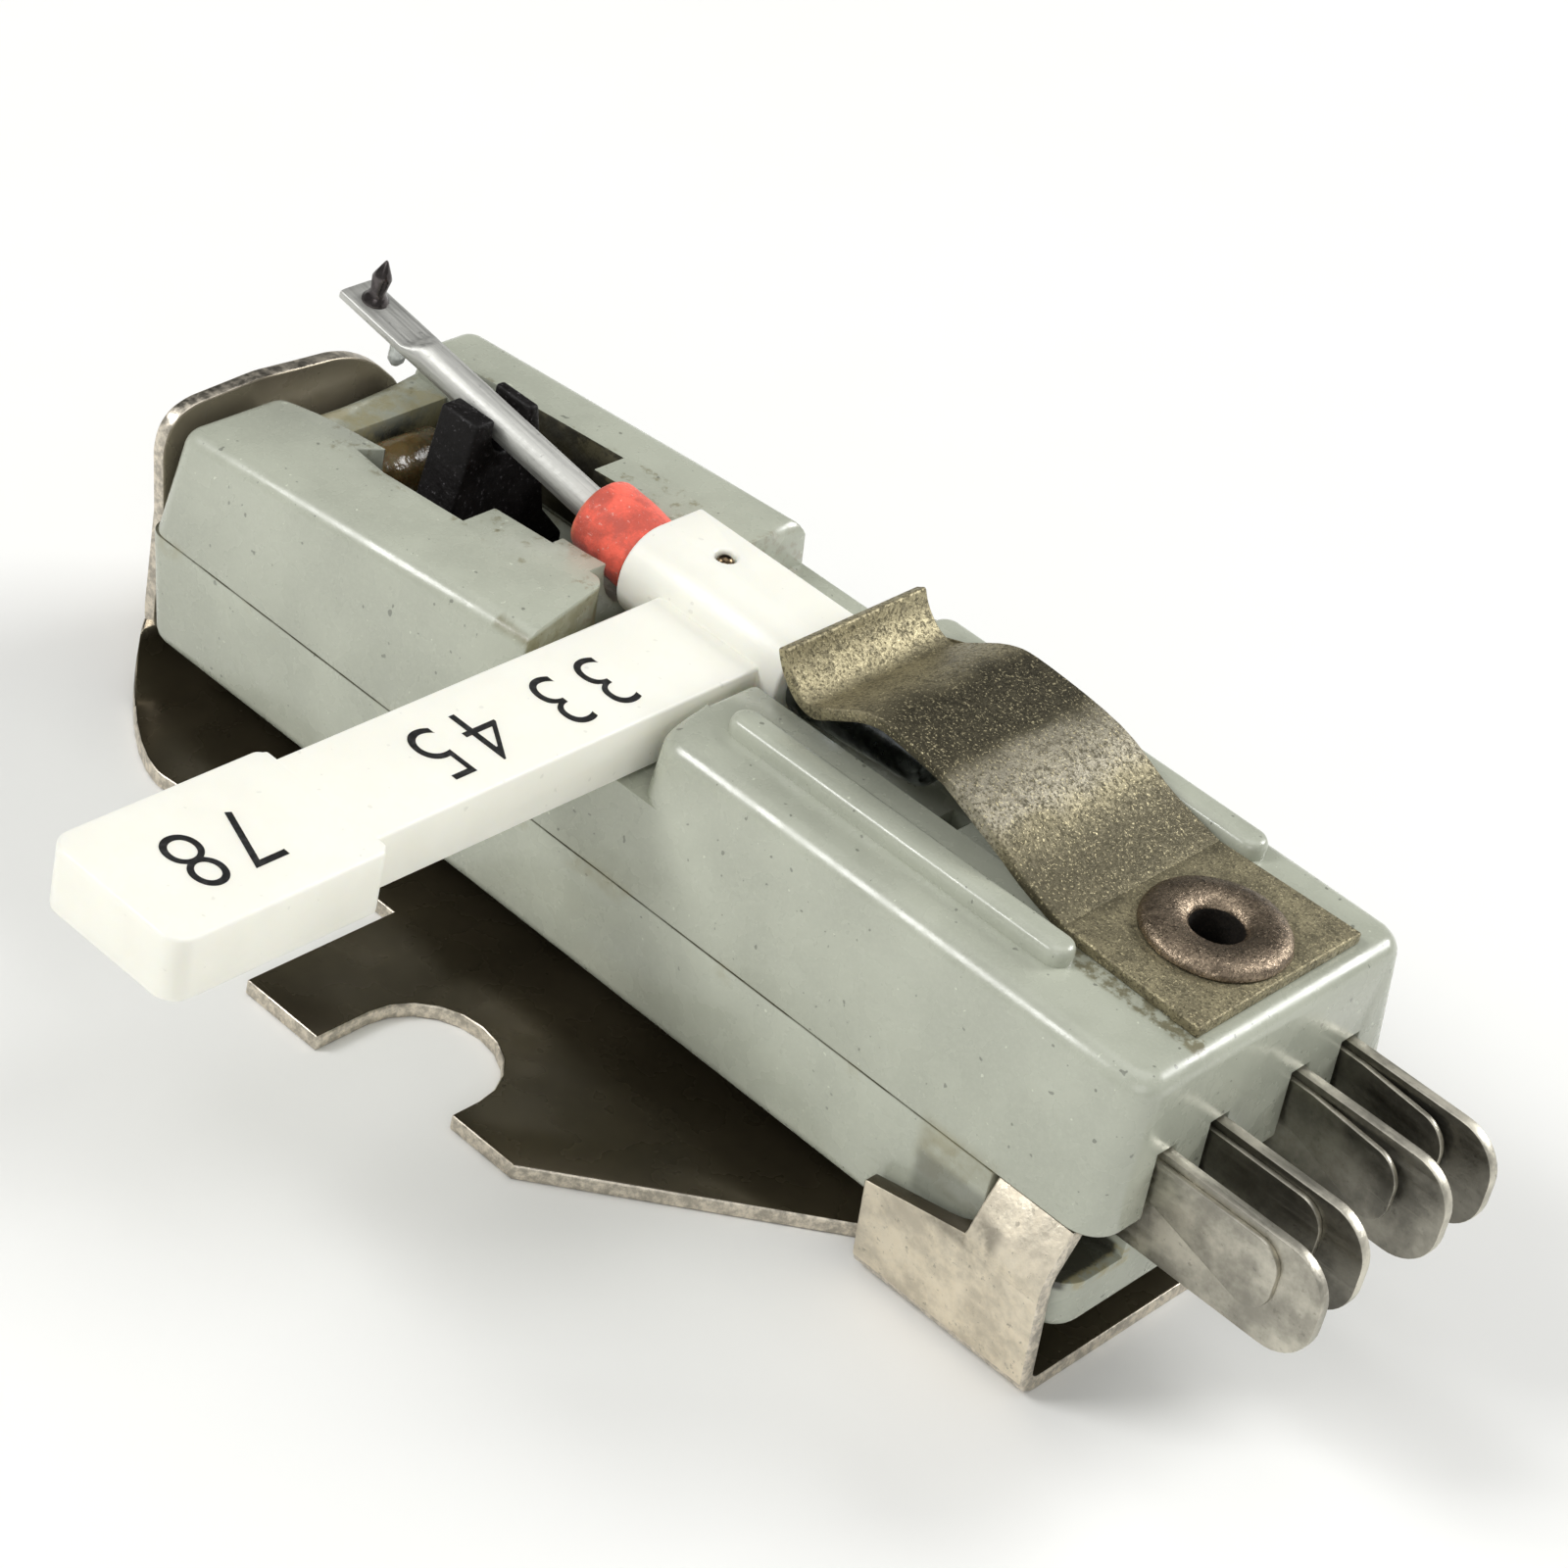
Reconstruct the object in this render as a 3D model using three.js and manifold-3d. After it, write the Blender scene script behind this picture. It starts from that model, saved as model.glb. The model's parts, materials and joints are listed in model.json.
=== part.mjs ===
// Turnover phono cartridge, resting on its mounting bracket with the stylus up.
// Lengths are in millimetres. Stations run along X from the front of the nose to the terminals,
// heights run along Z from the underside of the bracket, and Y is zero in the middle of the body.
// The part's origin lies on the underside, midway between the two mounting notches.

import * as THREE from 'three';
import { mergeVertices } from 'three/addons/utils/BufferGeometryUtils.js';
import Module from 'manifold-3d';

const wasm = await Module();
wasm.setup();

// Body lengths, from the nose to the terminals
const noseLength = 8.46;
const saddleLength = 2.85;
const rearBlockLength = 10.5;
const neckEndInset = 0.92;
const neckLeftInset = 0.56;
const upperFrontReach = 0.06;
const lowerFrontReach = 0.14;

// Body widths and heights
const bodyWidth = 7.5;
const standoffHeight = 0.95;
const lowerShellHeight = 2.2;
const upperShellHeight = 2.8;
const noseFrontDrop = 0.75;
const saddleFloorRise = 1.6;
const saddleStep = 0.25;
const stylusLineOffset = 0.3;

// How far the moulded walls lean in over the height of their shell
const sideDraft = 0.43;
const frontDraft = 0.18;
const rearDraft = 0.12;
const lowerSideDraft = 0.07;
const lowerFrontDraft = 0.34;

// Shell walls
const shellWall = 0.9;
const rearWall = 1.1;
const lowerShellSetback = 0.25;
const lowerFloor = 0.7;
const noseCornerRadius = 0.4;
const rearCornerRadius = 0.6;
const rearPocketLength = 0.8;
const rearPocketHeight = 1.15;
const cavityRise = 0.6;
const rearCavityLength = 2.8;
const rearCavityRoof = 1.05;
const standoffPadLength = 1.6;
const standoffPadHalfWidth = 2.2;
const standoffPadInset = 3.6;

// Slot in the nose, measured from the stylus line
const frontWallRise = 1.35;
const slotFrontReach = 1.35;
const slotRightReach = 1.89;
const slotWideReach = 1.91;
const slotNeckReach = 1.17;
const slotNickShare = 0.7;
const slotNickStation = 2.62;
const slotWideStation = 3.2;
const slotWideEnd = 5.13;
const slotEnd = 6.5;
const sleeveGrooveClearance = 0.23;

// Channel under the clip
const channelEndMargin = 3.2;
const channelRampRise = 0.35;
const windowInset = 3.2;
const windowLength = 0.65;
const windowHalfWidth = 0.45;

// Ribs beside the channel
const ribReach = 2.4;
const ribWidth = 0.6;
const ribHeight = 0.22;
const ribRound = 0.14;
const ribFrontMargin = 0.6;
const ribRearMargin = 2.75;

// Mounting bracket
const sheetThickness = 0.3;
const notchSpacing = 12.7;
const notchRadius = 1.3;
const notchStation = 10.5;
const wingFront = 7.46;
const wingReach = 7.5;
const wingRearReach = 6.95;
const wingRearLand = 1.45;
const plateHalfWidth = 4.27;
const flareReach = 5.16;
const flareLength = 5;
const flareFootShare = 0.62;
const plateNeckReach = 3.1;
const wallLength = 3.6;
const wallRearInset = 0.4;
const wallHeight = 2.2;
const wallFrontDrop = 0.5;
const wallClearance = 0.12;
const wallLean = 0.25;
const wallBendRadius = 0.2;
const tabLength = 1.55;
const tabRise = 0.8;
const tabLean = 0.46;
const tabClearance = 0.08;
const tongueGap = 0.2;
const tongueHeight = 5.69;
const tongueReach = 3.48;
const tongueFootHeight = 1.1;
const tongueBendRadius = 1.1;

// Stylus lever and its axle, measured from the lever's axis
const leverAxisRise = 2.55;
const hubHalfHeight = 0.85;
const hubRightReach = 0.89;
const hubLeftReach = 0.93;
const hubCornerRadius = 0.8;
const hubTail = 0.2;
const armThickness = 1.08;
const armReach = 9.25;
const gripReach = 13.4;
const gripOverhang = 0.32;
const gripExtraThickness = 0.1;
const gripCornerRadius = 0.4;
const leverClearance = 0.26;
const hubFrontClearance = 0.27;
const hubSweepClearance = 0.09;
const axleRadius = 0.68;
const axleTipRadius = 0.5;
const axleLength = 2.8;
const axleTipRound = 0.2;
const axleShankRadius = 0.4;
const axleShankLength = 1.6;
const fitClearance = 0.03;
const lockingPinRadius = 0.16;
const lockingPinLength = 0.9;
const lockingPinInset = 1.26;
const lockingPinShift = 0.2;

// Sleeve, core and cantilever, measured along the cantilever from the front of the hub
const cantileverTilt = THREE.MathUtils.degToRad(8.6);
const sleeveLength = 1.45;
const sleeveRadius = 0.71;
const sleeveRimRound = 0.1;
const sleeveGap = 0.08;
const hubPegRadius = 0.4;
const hubPegLength = 0.26;
const coreLength = 0.75;
const coreRadius = 0.5;
const sleeveLip = 0.25;
const rubberClearance = 0.05;
const tubeRadius = 0.31;
const cantileverLength = 7.83;
const flatLength = 1.58;
const pressedLength = 0.5;
const flatHalfWidth = 0.4;
const flatHalfThickness = 0.095;
const fineStylusInset = 0.49;
const coarseStylusInset = 1.3;
const fineStylusReach = 1.05;
const coarseStylusReach = 0.95;
const stylusRadius = 0.16;
const stylusSeatRadius = 0.24;
const stylusSeatHeight = 0.12;
const stylusConeLength = 0.4;
const stylusTipRadius = 0.02;
const flatSquareness = 0.5;
const bendSquareness = 0.8;
const roundSquareness = 1;

// Coupler fork
const forkStation = 3.25;
const forkThickness = 0.9;
const forkClearance = 0.1;
const forkLeftTipReach = 0.85;
const forkRightTipReach = 0.62;
const forkTipRise = 0.26;
const forkWaistReach = 1.25;
const forkBaseReach = 1.85;
const forkShoulderRise = 0.45;
const forkBaseShoulder = 0.4;
const forkFloorGap = 0.2;

// Front damper
const damperFrontGap = 0.1;
const damperLength = 1.1;
const damperBaseReach = 1.75;
const damperTopReach = 1.1;
const damperRise = 1.3;

// Piezo strips, their rear clamp and their leads
const stripThickness = 0.45;
const stripWidth = 1.25;
const stripLength = 12.8;
const stripStation = 1.45;
const stripSpread = 1;
const stripRise = 1.05;
const stripTilt = THREE.MathUtils.degToRad(45);
const stripClearance = 0.08;
const clampLength = 1.8;
const clampReach = 2;
const clampOverhang = 0.3;
const clampRoofGap = 0.05;
const leadWidth = 0.2;
const leadThickness = 0.1;
const leadSpread = 0.18;
const leadBendShare = 0.3;

// Terminal blades and contact leaves
const bladeThickness = 0.22;
const bladeHeight = 1.95;
const bladeSeamDrop = 0.75;
const bladeOuterReach = 2.32;
const bladeInnerReach = 1.02;
const bladeOverhangs = [3.2, 3, 3.07, 3];
const bladeRootLength = 1.8;
const bladeTipRadius = 0.8;
const tailLength = 0.7;
const tailHeight = 0.6;
const slotClearance = 0.05;
const leafThickness = 0.12;
const leafHeight = 1.3;
const leafTopInset = 0.12;
const leafTipInset = 0.8;
const leafTipRadius = 0.5;
const leafRoot = 0.5;
const leafBendMargin = 0.35;
const leafSplay = THREE.MathUtils.degToRad(6);

// Spring clip and its eyelet
const clipThickness = 0.22;
const clipFootHalfWidth = 2.06;
const clipLipHalfWidth = 1.68;
const clipFootLength = 2.8;
const clipRearMargin = 0.5;
const clipSeatGap = 0.08;
const clipTroughInset = 1.54;
const clipCrestInset = 3.29;
const clipCrestRise = 1.08;
const clipLipReach = 0.87;
const clipLipRise = 0.7;
const eyeletRearMargin = 1.85;
const eyeletBarrelRadius = 0.58;
const eyeletFlangeRadius = 1.24;
const eyeletFlangeHeight = 0.26;
const eyeletBoreRadius = 0.44;
const eyeletRollRadius = 0.71;
const eyeletRollHeight = 0.2;
const eyeletClearance = 0.05;

// Round shapes and cuts
const overrun = 1;
const arcSegments = 5;
const roundSegments = 20;
const smallSegments = 14;

// Stations, heights and reaches that follow from the sizes
const bodyLength = noseLength + saddleLength + rearBlockLength;
const bodyHalf = bodyWidth / 2;
const plateTop = sheetThickness;
const shellBottom = plateTop + standoffHeight;
const seamHeight = shellBottom + lowerShellHeight;
const bodyTop = seamHeight + upperShellHeight;
const saddleRear = noseLength + saddleLength;
const noseInnerEnd = noseLength - neckEndInset;
const lowerRear = bodyLength - lowerShellSetback;
const cavityHalf = bodyHalf - shellWall;
const cavityFloor = shellBottom + lowerFloor;
const cavityRoof = seamHeight + cavityRise;
const rearCavityTop = bodyTop - rearCavityRoof;
const rearCavityEnd = bodyLength - rearWall;
const leverHeight = seamHeight + leverAxisRise;
const hubFront = noseInnerEnd + hubFrontClearance;
const hubRear = saddleRear + hubTail;
const hubSweep = Math.hypot(hubRightReach, hubHalfHeight) + hubSweepClearance;
const hubBottom = leverHeight - hubSweep;
const channelFloor = leverHeight - axleRadius - leverClearance;
const saddleFloor = seamHeight + saddleFloorRise;
const armWidth = saddleLength - 2 * leverClearance;
const armMiddle = noseLength + saddleLength / 2;
const bladeBottom = seamHeight - bladeSeamDrop;
const bladeTop = bladeBottom + bladeHeight;
const bladeRoot = rearCavityEnd - bladeRootLength;
const tailFront = bladeRoot - tailLength;
const stripHeight = cavityFloor + stripRise;
const stripRear = stripStation + stripLength;
const clipRear = bodyLength - clipRearMargin;
const clipFold = clipRear - clipFootLength;
const clipTroughStation = saddleRear + clipTroughInset;
const clipCrestStation = saddleRear + clipCrestInset;
const eyeletStation = bodyLength - eyeletRearMargin;
const wallRear = bodyLength - wallRearInset;
const wallFront = wallRear - wallLength;
const wallInner = bodyHalf + wallClearance;
const wallOuter = wallInner + sheetThickness;
const wallTop = plateTop + wallHeight;
const wallFoot = wallInner - wallLean - wallBendRadius;
const tongueOuter = -tongueGap - sheetThickness;
const cantileverRise = Math.tan(cantileverTilt);
const flatStart = cantileverLength - flatLength;
const tubeRoundEnd = flatStart - pressedLength;

// Solids from closed geometries, and back
const mergeTolerance = 1e-5;
const quarterTurn = Math.PI / 2;
const halfTurn = Math.PI;

function solidOf(geometry) {
  const bare = geometry.clone();
  bare.deleteAttribute('normal');
  bare.deleteAttribute('uv');
  const merged = mergeVertices(bare, mergeTolerance);
  const vertProperties = Float32Array.from(merged.attributes.position.array);
  const triVerts = Uint32Array.from(merged.index.array);
  return new wasm.Manifold(new wasm.Mesh({ numProp: 3, vertProperties, triVerts }));
}

function geometryOf(solid) {
  const mesh = solid.getMesh();
  const geometry = new THREE.BufferGeometry();
  geometry.setAttribute('position', new THREE.BufferAttribute(Float32Array.from(mesh.vertProperties), 3));
  geometry.setIndex(Array.from(mesh.triVerts));
  geometry.computeVertexNormals();
  return geometry;
}

function joinAll(geometries) {
  return geometries.map(solidOf).reduce((whole, next) => whole.add(next));
}

function cutAll(solid, geometries) {
  return geometries.map(solidOf).reduce((whole, tool) => whole.subtract(tool), solid);
}

// Prisms along each axis, and other plain forms
const alongX = new THREE.Matrix4().makeBasis(
  new THREE.Vector3(0, 1, 0), new THREE.Vector3(0, 0, 1), new THREE.Vector3(1, 0, 0));
const alongY = new THREE.Matrix4().makeBasis(
  new THREE.Vector3(1, 0, 0), new THREE.Vector3(0, 0, 1), new THREE.Vector3(0, -1, 0));

function extrude(shape, depth) {
  return new THREE.ExtrudeGeometry(shape, { depth, bevelEnabled: false, curveSegments: arcSegments });
}

// The shape lies in Y and Z
function prismX(shape, from, to) {
  return extrude(shape, to - from).applyMatrix4(alongX).translate(from, 0, 0);
}

// The shape lies in X and Z
function prismY(shape, from, to) {
  return extrude(shape, to - from).applyMatrix4(alongY).translate(0, to, 0);
}

function prismZ(shape, from, to) {
  return extrude(shape, to - from).translate(0, 0, from);
}

function block(xs, ys, zs) {
  const size = [xs, ys, zs].map(([low, high]) => high - low);
  const middle = [xs, ys, zs].map(([low, high]) => (low + high) / 2);
  return new THREE.BoxGeometry(...size).translate(...middle);
}

function polygon(points) {
  return new THREE.Shape(points.map(([u, v]) => new THREE.Vector2(u, v)));
}

// A rectangle with its own radius at each corner, in the order low-low, high-low, high-high, low-high
function roundedRectangle([u0, u1], [v0, v1], radii) {
  const shape = new THREE.Shape();
  const corners = [[u0, v0, 1, 1], [u1, v0, -1, 1], [u1, v1, -1, -1], [u0, v1, 1, -1]];
  corners.forEach(([u, v, inU, inV], index) => {
    const radius = radii[index];
    const start = halfTurn + index * quarterTurn;
    if (radius > 0) shape.absarc(u + inU * radius, v + inV * radius, radius, start, start + quarterTurn);
    else if (index === 0) shape.moveTo(u, v);
    else shape.lineTo(u, v);
  });
  shape.closePath();
  return shape;
}

function cylinderX(radius, from, to, segments = roundSegments) {
  const middle = (from + to) / 2;
  const cylinder = new THREE.CylinderGeometry(radius, radius, to - from, segments);
  return cylinder.rotateZ(quarterTurn).translate(middle, 0, 0);
}

function cylinderZ(radius, from, to, segments = roundSegments) {
  const middle = (from + to) / 2;
  const cylinder = new THREE.CylinderGeometry(radius, radius, to - from, segments);
  return cylinder.rotateX(quarterTurn).translate(0, 0, middle);
}

// A turned form about Z, from points of radius and height
function turned(points, segments = roundSegments) {
  const profile = points.map(([radius, height]) => new THREE.Vector2(radius, height));
  return new THREE.LatheGeometry(profile, segments).rotateX(quarterTurn);
}

function warp(geometry, move) {
  const position = geometry.attributes.position;
  const point = new THREE.Vector3();
  for (let index = 0; index < position.count; index += 1) {
    point.fromBufferAttribute(position, index);
    move(point);
    position.setXYZ(index, point.x, point.y, point.z);
  }
  return geometry;
}

function mirroredY(points) {
  return points.concat(points.slice().reverse().map(([x, y]) => [x, -y]));
}

// Places on the stylus line and on the cantilever
function onLine(low, high) {
  return [stylusLineOffset - low, stylusLineOffset + high];
}

function cantileverHeight(station) {
  return leverHeight + (hubFront - station) * cantileverRise;
}

function alongCantilever(geometry) {
  return geometry.rotateY(cantileverTilt).translate(hubFront, stylusLineOffset, leverHeight);
}

// Materials
function material(color, roughness, metalness) {
  return new THREE.MeshStandardMaterial({ color, roughness, metalness });
}

const greyPlastic = () => material(0xaab4ae, 0.35, 0);
const ivoryPlastic = () => material(0xf2eedd, 0.4, 0);
const redRubber = () => material(0xc4453c, 0.7, 0);
const darkRubber = () => material(0x5b2a26, 0.8, 0);
const blackRubber = () => material(0x17171a, 0.75, 0);
const amberRubber = () => material(0xa8823a, 0.5, 0);
const nickelSteel = () => material(0x6d655b, 0.3, 1);
const clipBronze = () => material(0x8d8271, 0.5, 1);
const darkSteel = () => material(0x4b4f52, 0.3, 1);
const aluminium = () => material(0xb9bcc0, 0.35, 1);
const tinnedBrass = () => material(0x7b7a74, 0.45, 1);
const piezoCeramic = () => material(0xcfc6a8, 0.6, 0);
const sapphire = () => material(0x2e2a2c, 0.15, 0);
const clearSapphire = () => material(0xb9c4c6, 0.1, 0);

function piece(name, geometry, finish) {
  const mesh = new THREE.Mesh(geometry, finish);
  mesh.name = name;
  return mesh;
}

// Upright walls of the upper shell lean in above the seam, those of the lower shell below it
function leanUpper(point) {
  const rise = (point.z - seamHeight) / upperShellHeight;
  point.y *= 1 - rise * sideDraft / bodyHalf;
  if (point.x <= noseCornerRadius) point.x += rise * frontDraft;
  if (point.x >= bodyLength - rearCornerRadius) point.x -= rise * rearDraft;
}

function leanLower(point) {
  const drop = (seamHeight - point.z) / lowerShellHeight;
  point.y *= 1 - drop * lowerSideDraft / bodyHalf;
  if (point.x <= noseCornerRadius) point.x += drop * lowerFrontDraft;
}

function nosePlan() {
  const shape = new THREE.Shape();
  const [neckLeft, neckRight] = onLine(hubSweep, hubSweep);
  const radius = noseCornerRadius;
  const station = radius - upperFrontReach;
  const inset = bodyHalf - radius;
  shape.moveTo(noseLength, -bodyHalf);
  shape.lineTo(noseLength - neckLeftInset, neckLeft);
  shape.lineTo(noseInnerEnd, neckLeft);
  shape.lineTo(noseInnerEnd, neckRight);
  shape.lineTo(noseLength, neckRight);
  shape.lineTo(noseLength, bodyHalf);
  shape.absarc(station, inset, radius, quarterTurn, halfTurn);
  shape.absarc(station, -inset, radius, halfTurn, halfTurn + quarterTurn);
  shape.closePath();
  return shape;
}

function upperShellBlank() {
  const rearRadii = [rearCornerRadius, rearCornerRadius, rearCornerRadius, rearCornerRadius];
  const rearPlan = roundedRectangle([saddleRear, bodyLength], [-bodyHalf, bodyHalf], rearRadii);
  const saddleSpan = [noseInnerEnd - overrun, saddleRear + overrun];
  const highFloor = saddleFloor + saddleStep;
  return joinAll([
    warp(prismZ(nosePlan(), seamHeight, bodyTop), leanUpper),
    warp(prismZ(rearPlan, seamHeight, bodyTop), leanUpper),
    warp(block(saddleSpan, [-bodyHalf, 0], [seamHeight, saddleFloor]), leanUpper),
    warp(block(saddleSpan, [0, bodyHalf], [seamHeight, highFloor]), leanUpper),
  ]);
}

function noseSlope() {
  const frontTop = bodyTop - noseFrontDrop;
  const above = bodyTop + overrun;
  return prismY(polygon([
    [-overrun, frontTop], [-upperFrontReach, frontTop], [noseLength, bodyTop], [noseLength, above],
    [-overrun, above],
  ]), -bodyWidth, bodyWidth);
}

// The slot opens wide around the fork, narrows to a neck and ends in a groove for the sleeve
function noseSlotCuts() {
  const line = stylusLineOffset;
  const nickDepth = (slotWideReach - slotFrontReach) * slotNickShare;
  const nickSlant = (slotWideStation - slotNickStation) / 2;
  const above = bodyTop + overrun;
  const plan = polygon([
    [shellWall, line - slotFrontReach],
    [slotNickStation, line - slotFrontReach],
    [slotNickStation - nickSlant, line - slotFrontReach - nickDepth],
    [slotWideStation, line - slotWideReach],
    [slotWideEnd, line - slotWideReach],
    [slotWideEnd, line - slotNeckReach],
    [slotEnd, line - slotNeckReach],
    [slotEnd, line + slotNeckReach],
    [slotWideEnd, line + slotNeckReach],
    [slotWideEnd, line + slotRightReach],
    [shellWall, line + slotRightReach],
  ]);
  const shallow = block([-overrun, shellWall + overrun / 2], onLine(slotFrontReach, slotRightReach),
    [seamHeight + frontWallRise, above]);
  const grooveRadius = sleeveRadius + sleeveGrooveClearance;
  const groove = alongCantilever(cylinderX(grooveRadius, slotEnd - hubFront - overrun / 2, overrun));
  return [prismZ(plan, seamHeight - overrun, above), shallow, groove];
}

function channelCuts() {
  const above = bodyTop + overrun;
  const windowStart = saddleRear + windowInset;
  const windowEnd = windowStart + windowLength;
  const channelEnd = bodyLength - channelEndMargin;
  const profile = polygon([
    [saddleRear - overrun, channelFloor], [windowEnd, channelFloor],
    [windowEnd, channelFloor + channelRampRise], [channelEnd, bodyTop], [channelEnd, above],
    [saddleRear - overrun, above],
  ]);
  const sweepEnd = hubRear + leverClearance;
  return [
    prismY(profile, ...onLine(hubSweep, hubSweep)),
    block([noseInnerEnd, sweepEnd], onLine(hubSweep, hubSweep), [hubBottom, above]),
    block([windowStart, windowEnd], onLine(windowHalfWidth, windowHalfWidth),
      [seamHeight, channelFloor + overrun / 2]),
  ];
}

// A stadium-shaped bar with a rounded top, one on each side of the channel
function ribs() {
  const length = rearBlockLength - ribFrontMargin - ribRearMargin;
  const halfRib = ribWidth / 2;
  const front = saddleRear + ribFrontMargin;
  return [-ribReach, ribReach].map((reach) => {
    const across = [stylusLineOffset + reach - halfRib, stylusLineOffset + reach + halfRib];
    const plan = roundedRectangle([front, front + length], across, [halfRib, halfRib, halfRib, halfRib]);
    return new THREE.ExtrudeGeometry(plan, {
      depth: ribHeight, curveSegments: arcSegments, bevelEnabled: true,
      bevelThickness: ribRound, bevelSize: ribRound, bevelOffset: -ribRound, bevelSegments: 2,
    }).translate(0, 0, bodyTop - ribRound);
  });
}

// Each blade's place across the body, and the splay of its contact leaf
const bladePlaces = [
  { reach: -bladeOuterReach, splay: 0 },
  { reach: -bladeInnerReach, splay: 0 },
  { reach: bladeInnerReach, splay: leafSplay },
  { reach: bladeOuterReach, splay: leafSplay },
];

function bladeTip(index) {
  return bodyLength + bladeOverhangs[index];
}

function bladeSlots(low, high, rear) {
  return bladePlaces.map(({ reach }) => {
    const left = reach - bladeThickness / 2 - leafThickness - slotClearance;
    const right = reach + bladeThickness / 2 + slotClearance;
    return block([rear - rearWall - overrun, rear + overrun], [left, right], [low, high]);
  });
}

function makeUpperShell() {
  const across = [-cavityHalf, cavityHalf];
  const cavity = block([shellWall, rearCavityEnd], across, [seamHeight - overrun, cavityRoof]);
  const rearCavity = block([rearCavityEnd - rearCavityLength, rearCavityEnd], across,
    [seamHeight, rearCavityTop]);
  const bore = cylinderZ(eyeletBarrelRadius + eyeletClearance, rearCavityTop - overrun, bodyTop + overrun)
    .translate(eyeletStation, stylusLineOffset, 0);
  const shaped = cutAll(upperShellBlank(), [
    noseSlope(), ...noseSlotCuts(), ...channelCuts(), cavity, rearCavity, bore,
    ...bladeSlots(seamHeight - overrun, bladeTop + slotClearance, bodyLength),
  ]);
  const whole = ribs().map(solidOf).reduce((shell, rib) => shell.add(rib), shaped);
  return piece('upper_shell', geometryOf(whole), greyPlastic());
}

// Cross-section of the tab's inner face, pushed inwards by a clearance
function tabFoot(side, clearance) {
  return [side * (wallInner - clearance), wallTop - clearance];
}

function tabHead(side, clearance) {
  return [side * (wallInner - tabLean - clearance), wallTop + tabRise];
}

function tabRecess(side) {
  const outside = side * (wallInner + overrun);
  const section = polygon([
    [outside, tabFoot(side, tabClearance)[1]], tabFoot(side, tabClearance), tabHead(side, tabClearance),
    [tabHead(side, tabClearance)[0], seamHeight + overrun], [outside, seamHeight + overrun],
  ]);
  return prismX(section, wallRear - tabLength - tabClearance, lowerRear + overrun);
}

// An open corner behind each tab, beside the outermost blade's slot
function rearPocket(side) {
  const across = [side * bladeOuterReach, side * (bodyHalf + overrun)].sort((a, b) => a - b);
  return block([lowerRear - rearPocketLength, lowerRear + overrun], across,
    [seamHeight - rearPocketHeight, seamHeight + overrun]);
}

function makeLowerShell() {
  const radii = [noseCornerRadius, rearCornerRadius, rearCornerRadius, noseCornerRadius];
  const plan = roundedRectangle([-lowerFrontReach, lowerRear], [-bodyHalf, bodyHalf], radii);
  const pads = [standoffPadInset, lowerRear - standoffPadInset - standoffPadLength].map((start) => block(
    [start, start + standoffPadLength], [-standoffPadHalfWidth, standoffPadHalfWidth],
    [plateTop, shellBottom + lowerFloor / 2]));
  const blank = joinAll([warp(prismZ(plan, shellBottom, seamHeight), leanLower), ...pads]);
  const cavity = block([shellWall, rearCavityEnd], [-cavityHalf, cavityHalf],
    [cavityFloor, seamHeight + overrun]);
  const whole = cutAll(blank, [
    cavity, tabRecess(-1), tabRecess(1), rearPocket(-1), rearPocket(1),
    ...bladeSlots(bladeBottom - slotClearance, seamHeight + overrun, lowerRear),
  ]);
  return piece('lower_shell', geometryOf(whole), greyPlastic());
}

// Outline of one wing with its U-shaped notch, from the front to the rear
function wingOutline() {
  const notchReach = notchSpacing / 2;
  const notchFront = notchStation - notchRadius;
  const notchRear = notchStation + notchRadius;
  const arc = [];
  for (let step = 0; step <= 2 * arcSegments; step += 1) {
    const angle = halfTurn - (step / (2 * arcSegments)) * halfTurn;
    arc.push([notchStation + notchRadius * Math.cos(angle), notchReach - notchRadius * Math.sin(angle)]);
  }
  return [
    [wingFront, plateHalfWidth], [wingFront, wingReach], [notchFront, wingReach], ...arc,
    [notchRear, wingRearReach], [notchRear + wingRearLand, wingRearReach],
  ];
}

// The tongue widens through its bend into the plate, which narrows again before the wings
function flareOutline() {
  const shares = [
    [0, flareFootShare], [0.015, 0.626], [0.05, 0.664], [0.102, 0.717], [0.168, 0.772], [0.248, 0.832],
    [0.318, 0.882], [0.41, 0.938], [0.496, 0.977], [0.58, 1], [0.7, 0.985], [0.84, 0.92],
  ];
  return shares.map(([along, out]) => [tongueOuter + flareLength * along, flareReach * out]);
}

function plateOutline() {
  const bendStation = tongueBendRadius - tongueGap;
  const flare = flareOutline().filter(([station]) => station > bendStation);
  const half = [
    ...flare, [tongueOuter + flareLength, plateHalfWidth], ...wingOutline(),
    [wallFront - wallBendRadius, plateNeckReach], [wallFront, plateNeckReach],
    [wallFront, wallFoot], [wallRear, wallFoot],
  ];
  return polygon(mirroredY(half));
}

// The tongue's section in X and Z: plate, bend and upright
function tongueSection() {
  const inner = -tongueGap;
  const bendX = inner + tongueBendRadius;
  const bendZ = plateTop + tongueBendRadius;
  const shape = new THREE.Shape();
  shape.moveTo(bendX + overrun, 0);
  shape.absarc(bendX, bendZ, tongueBendRadius + sheetThickness, halfTurn + quarterTurn, halfTurn, true);
  shape.lineTo(tongueOuter, tongueHeight + overrun);
  shape.lineTo(inner, tongueHeight + overrun);
  shape.absarc(bendX, bendZ, tongueBendRadius, halfTurn, halfTurn + quarterTurn, false);
  shape.lineTo(bendX + overrun, plateTop);
  shape.closePath();
  return shape;
}

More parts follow.
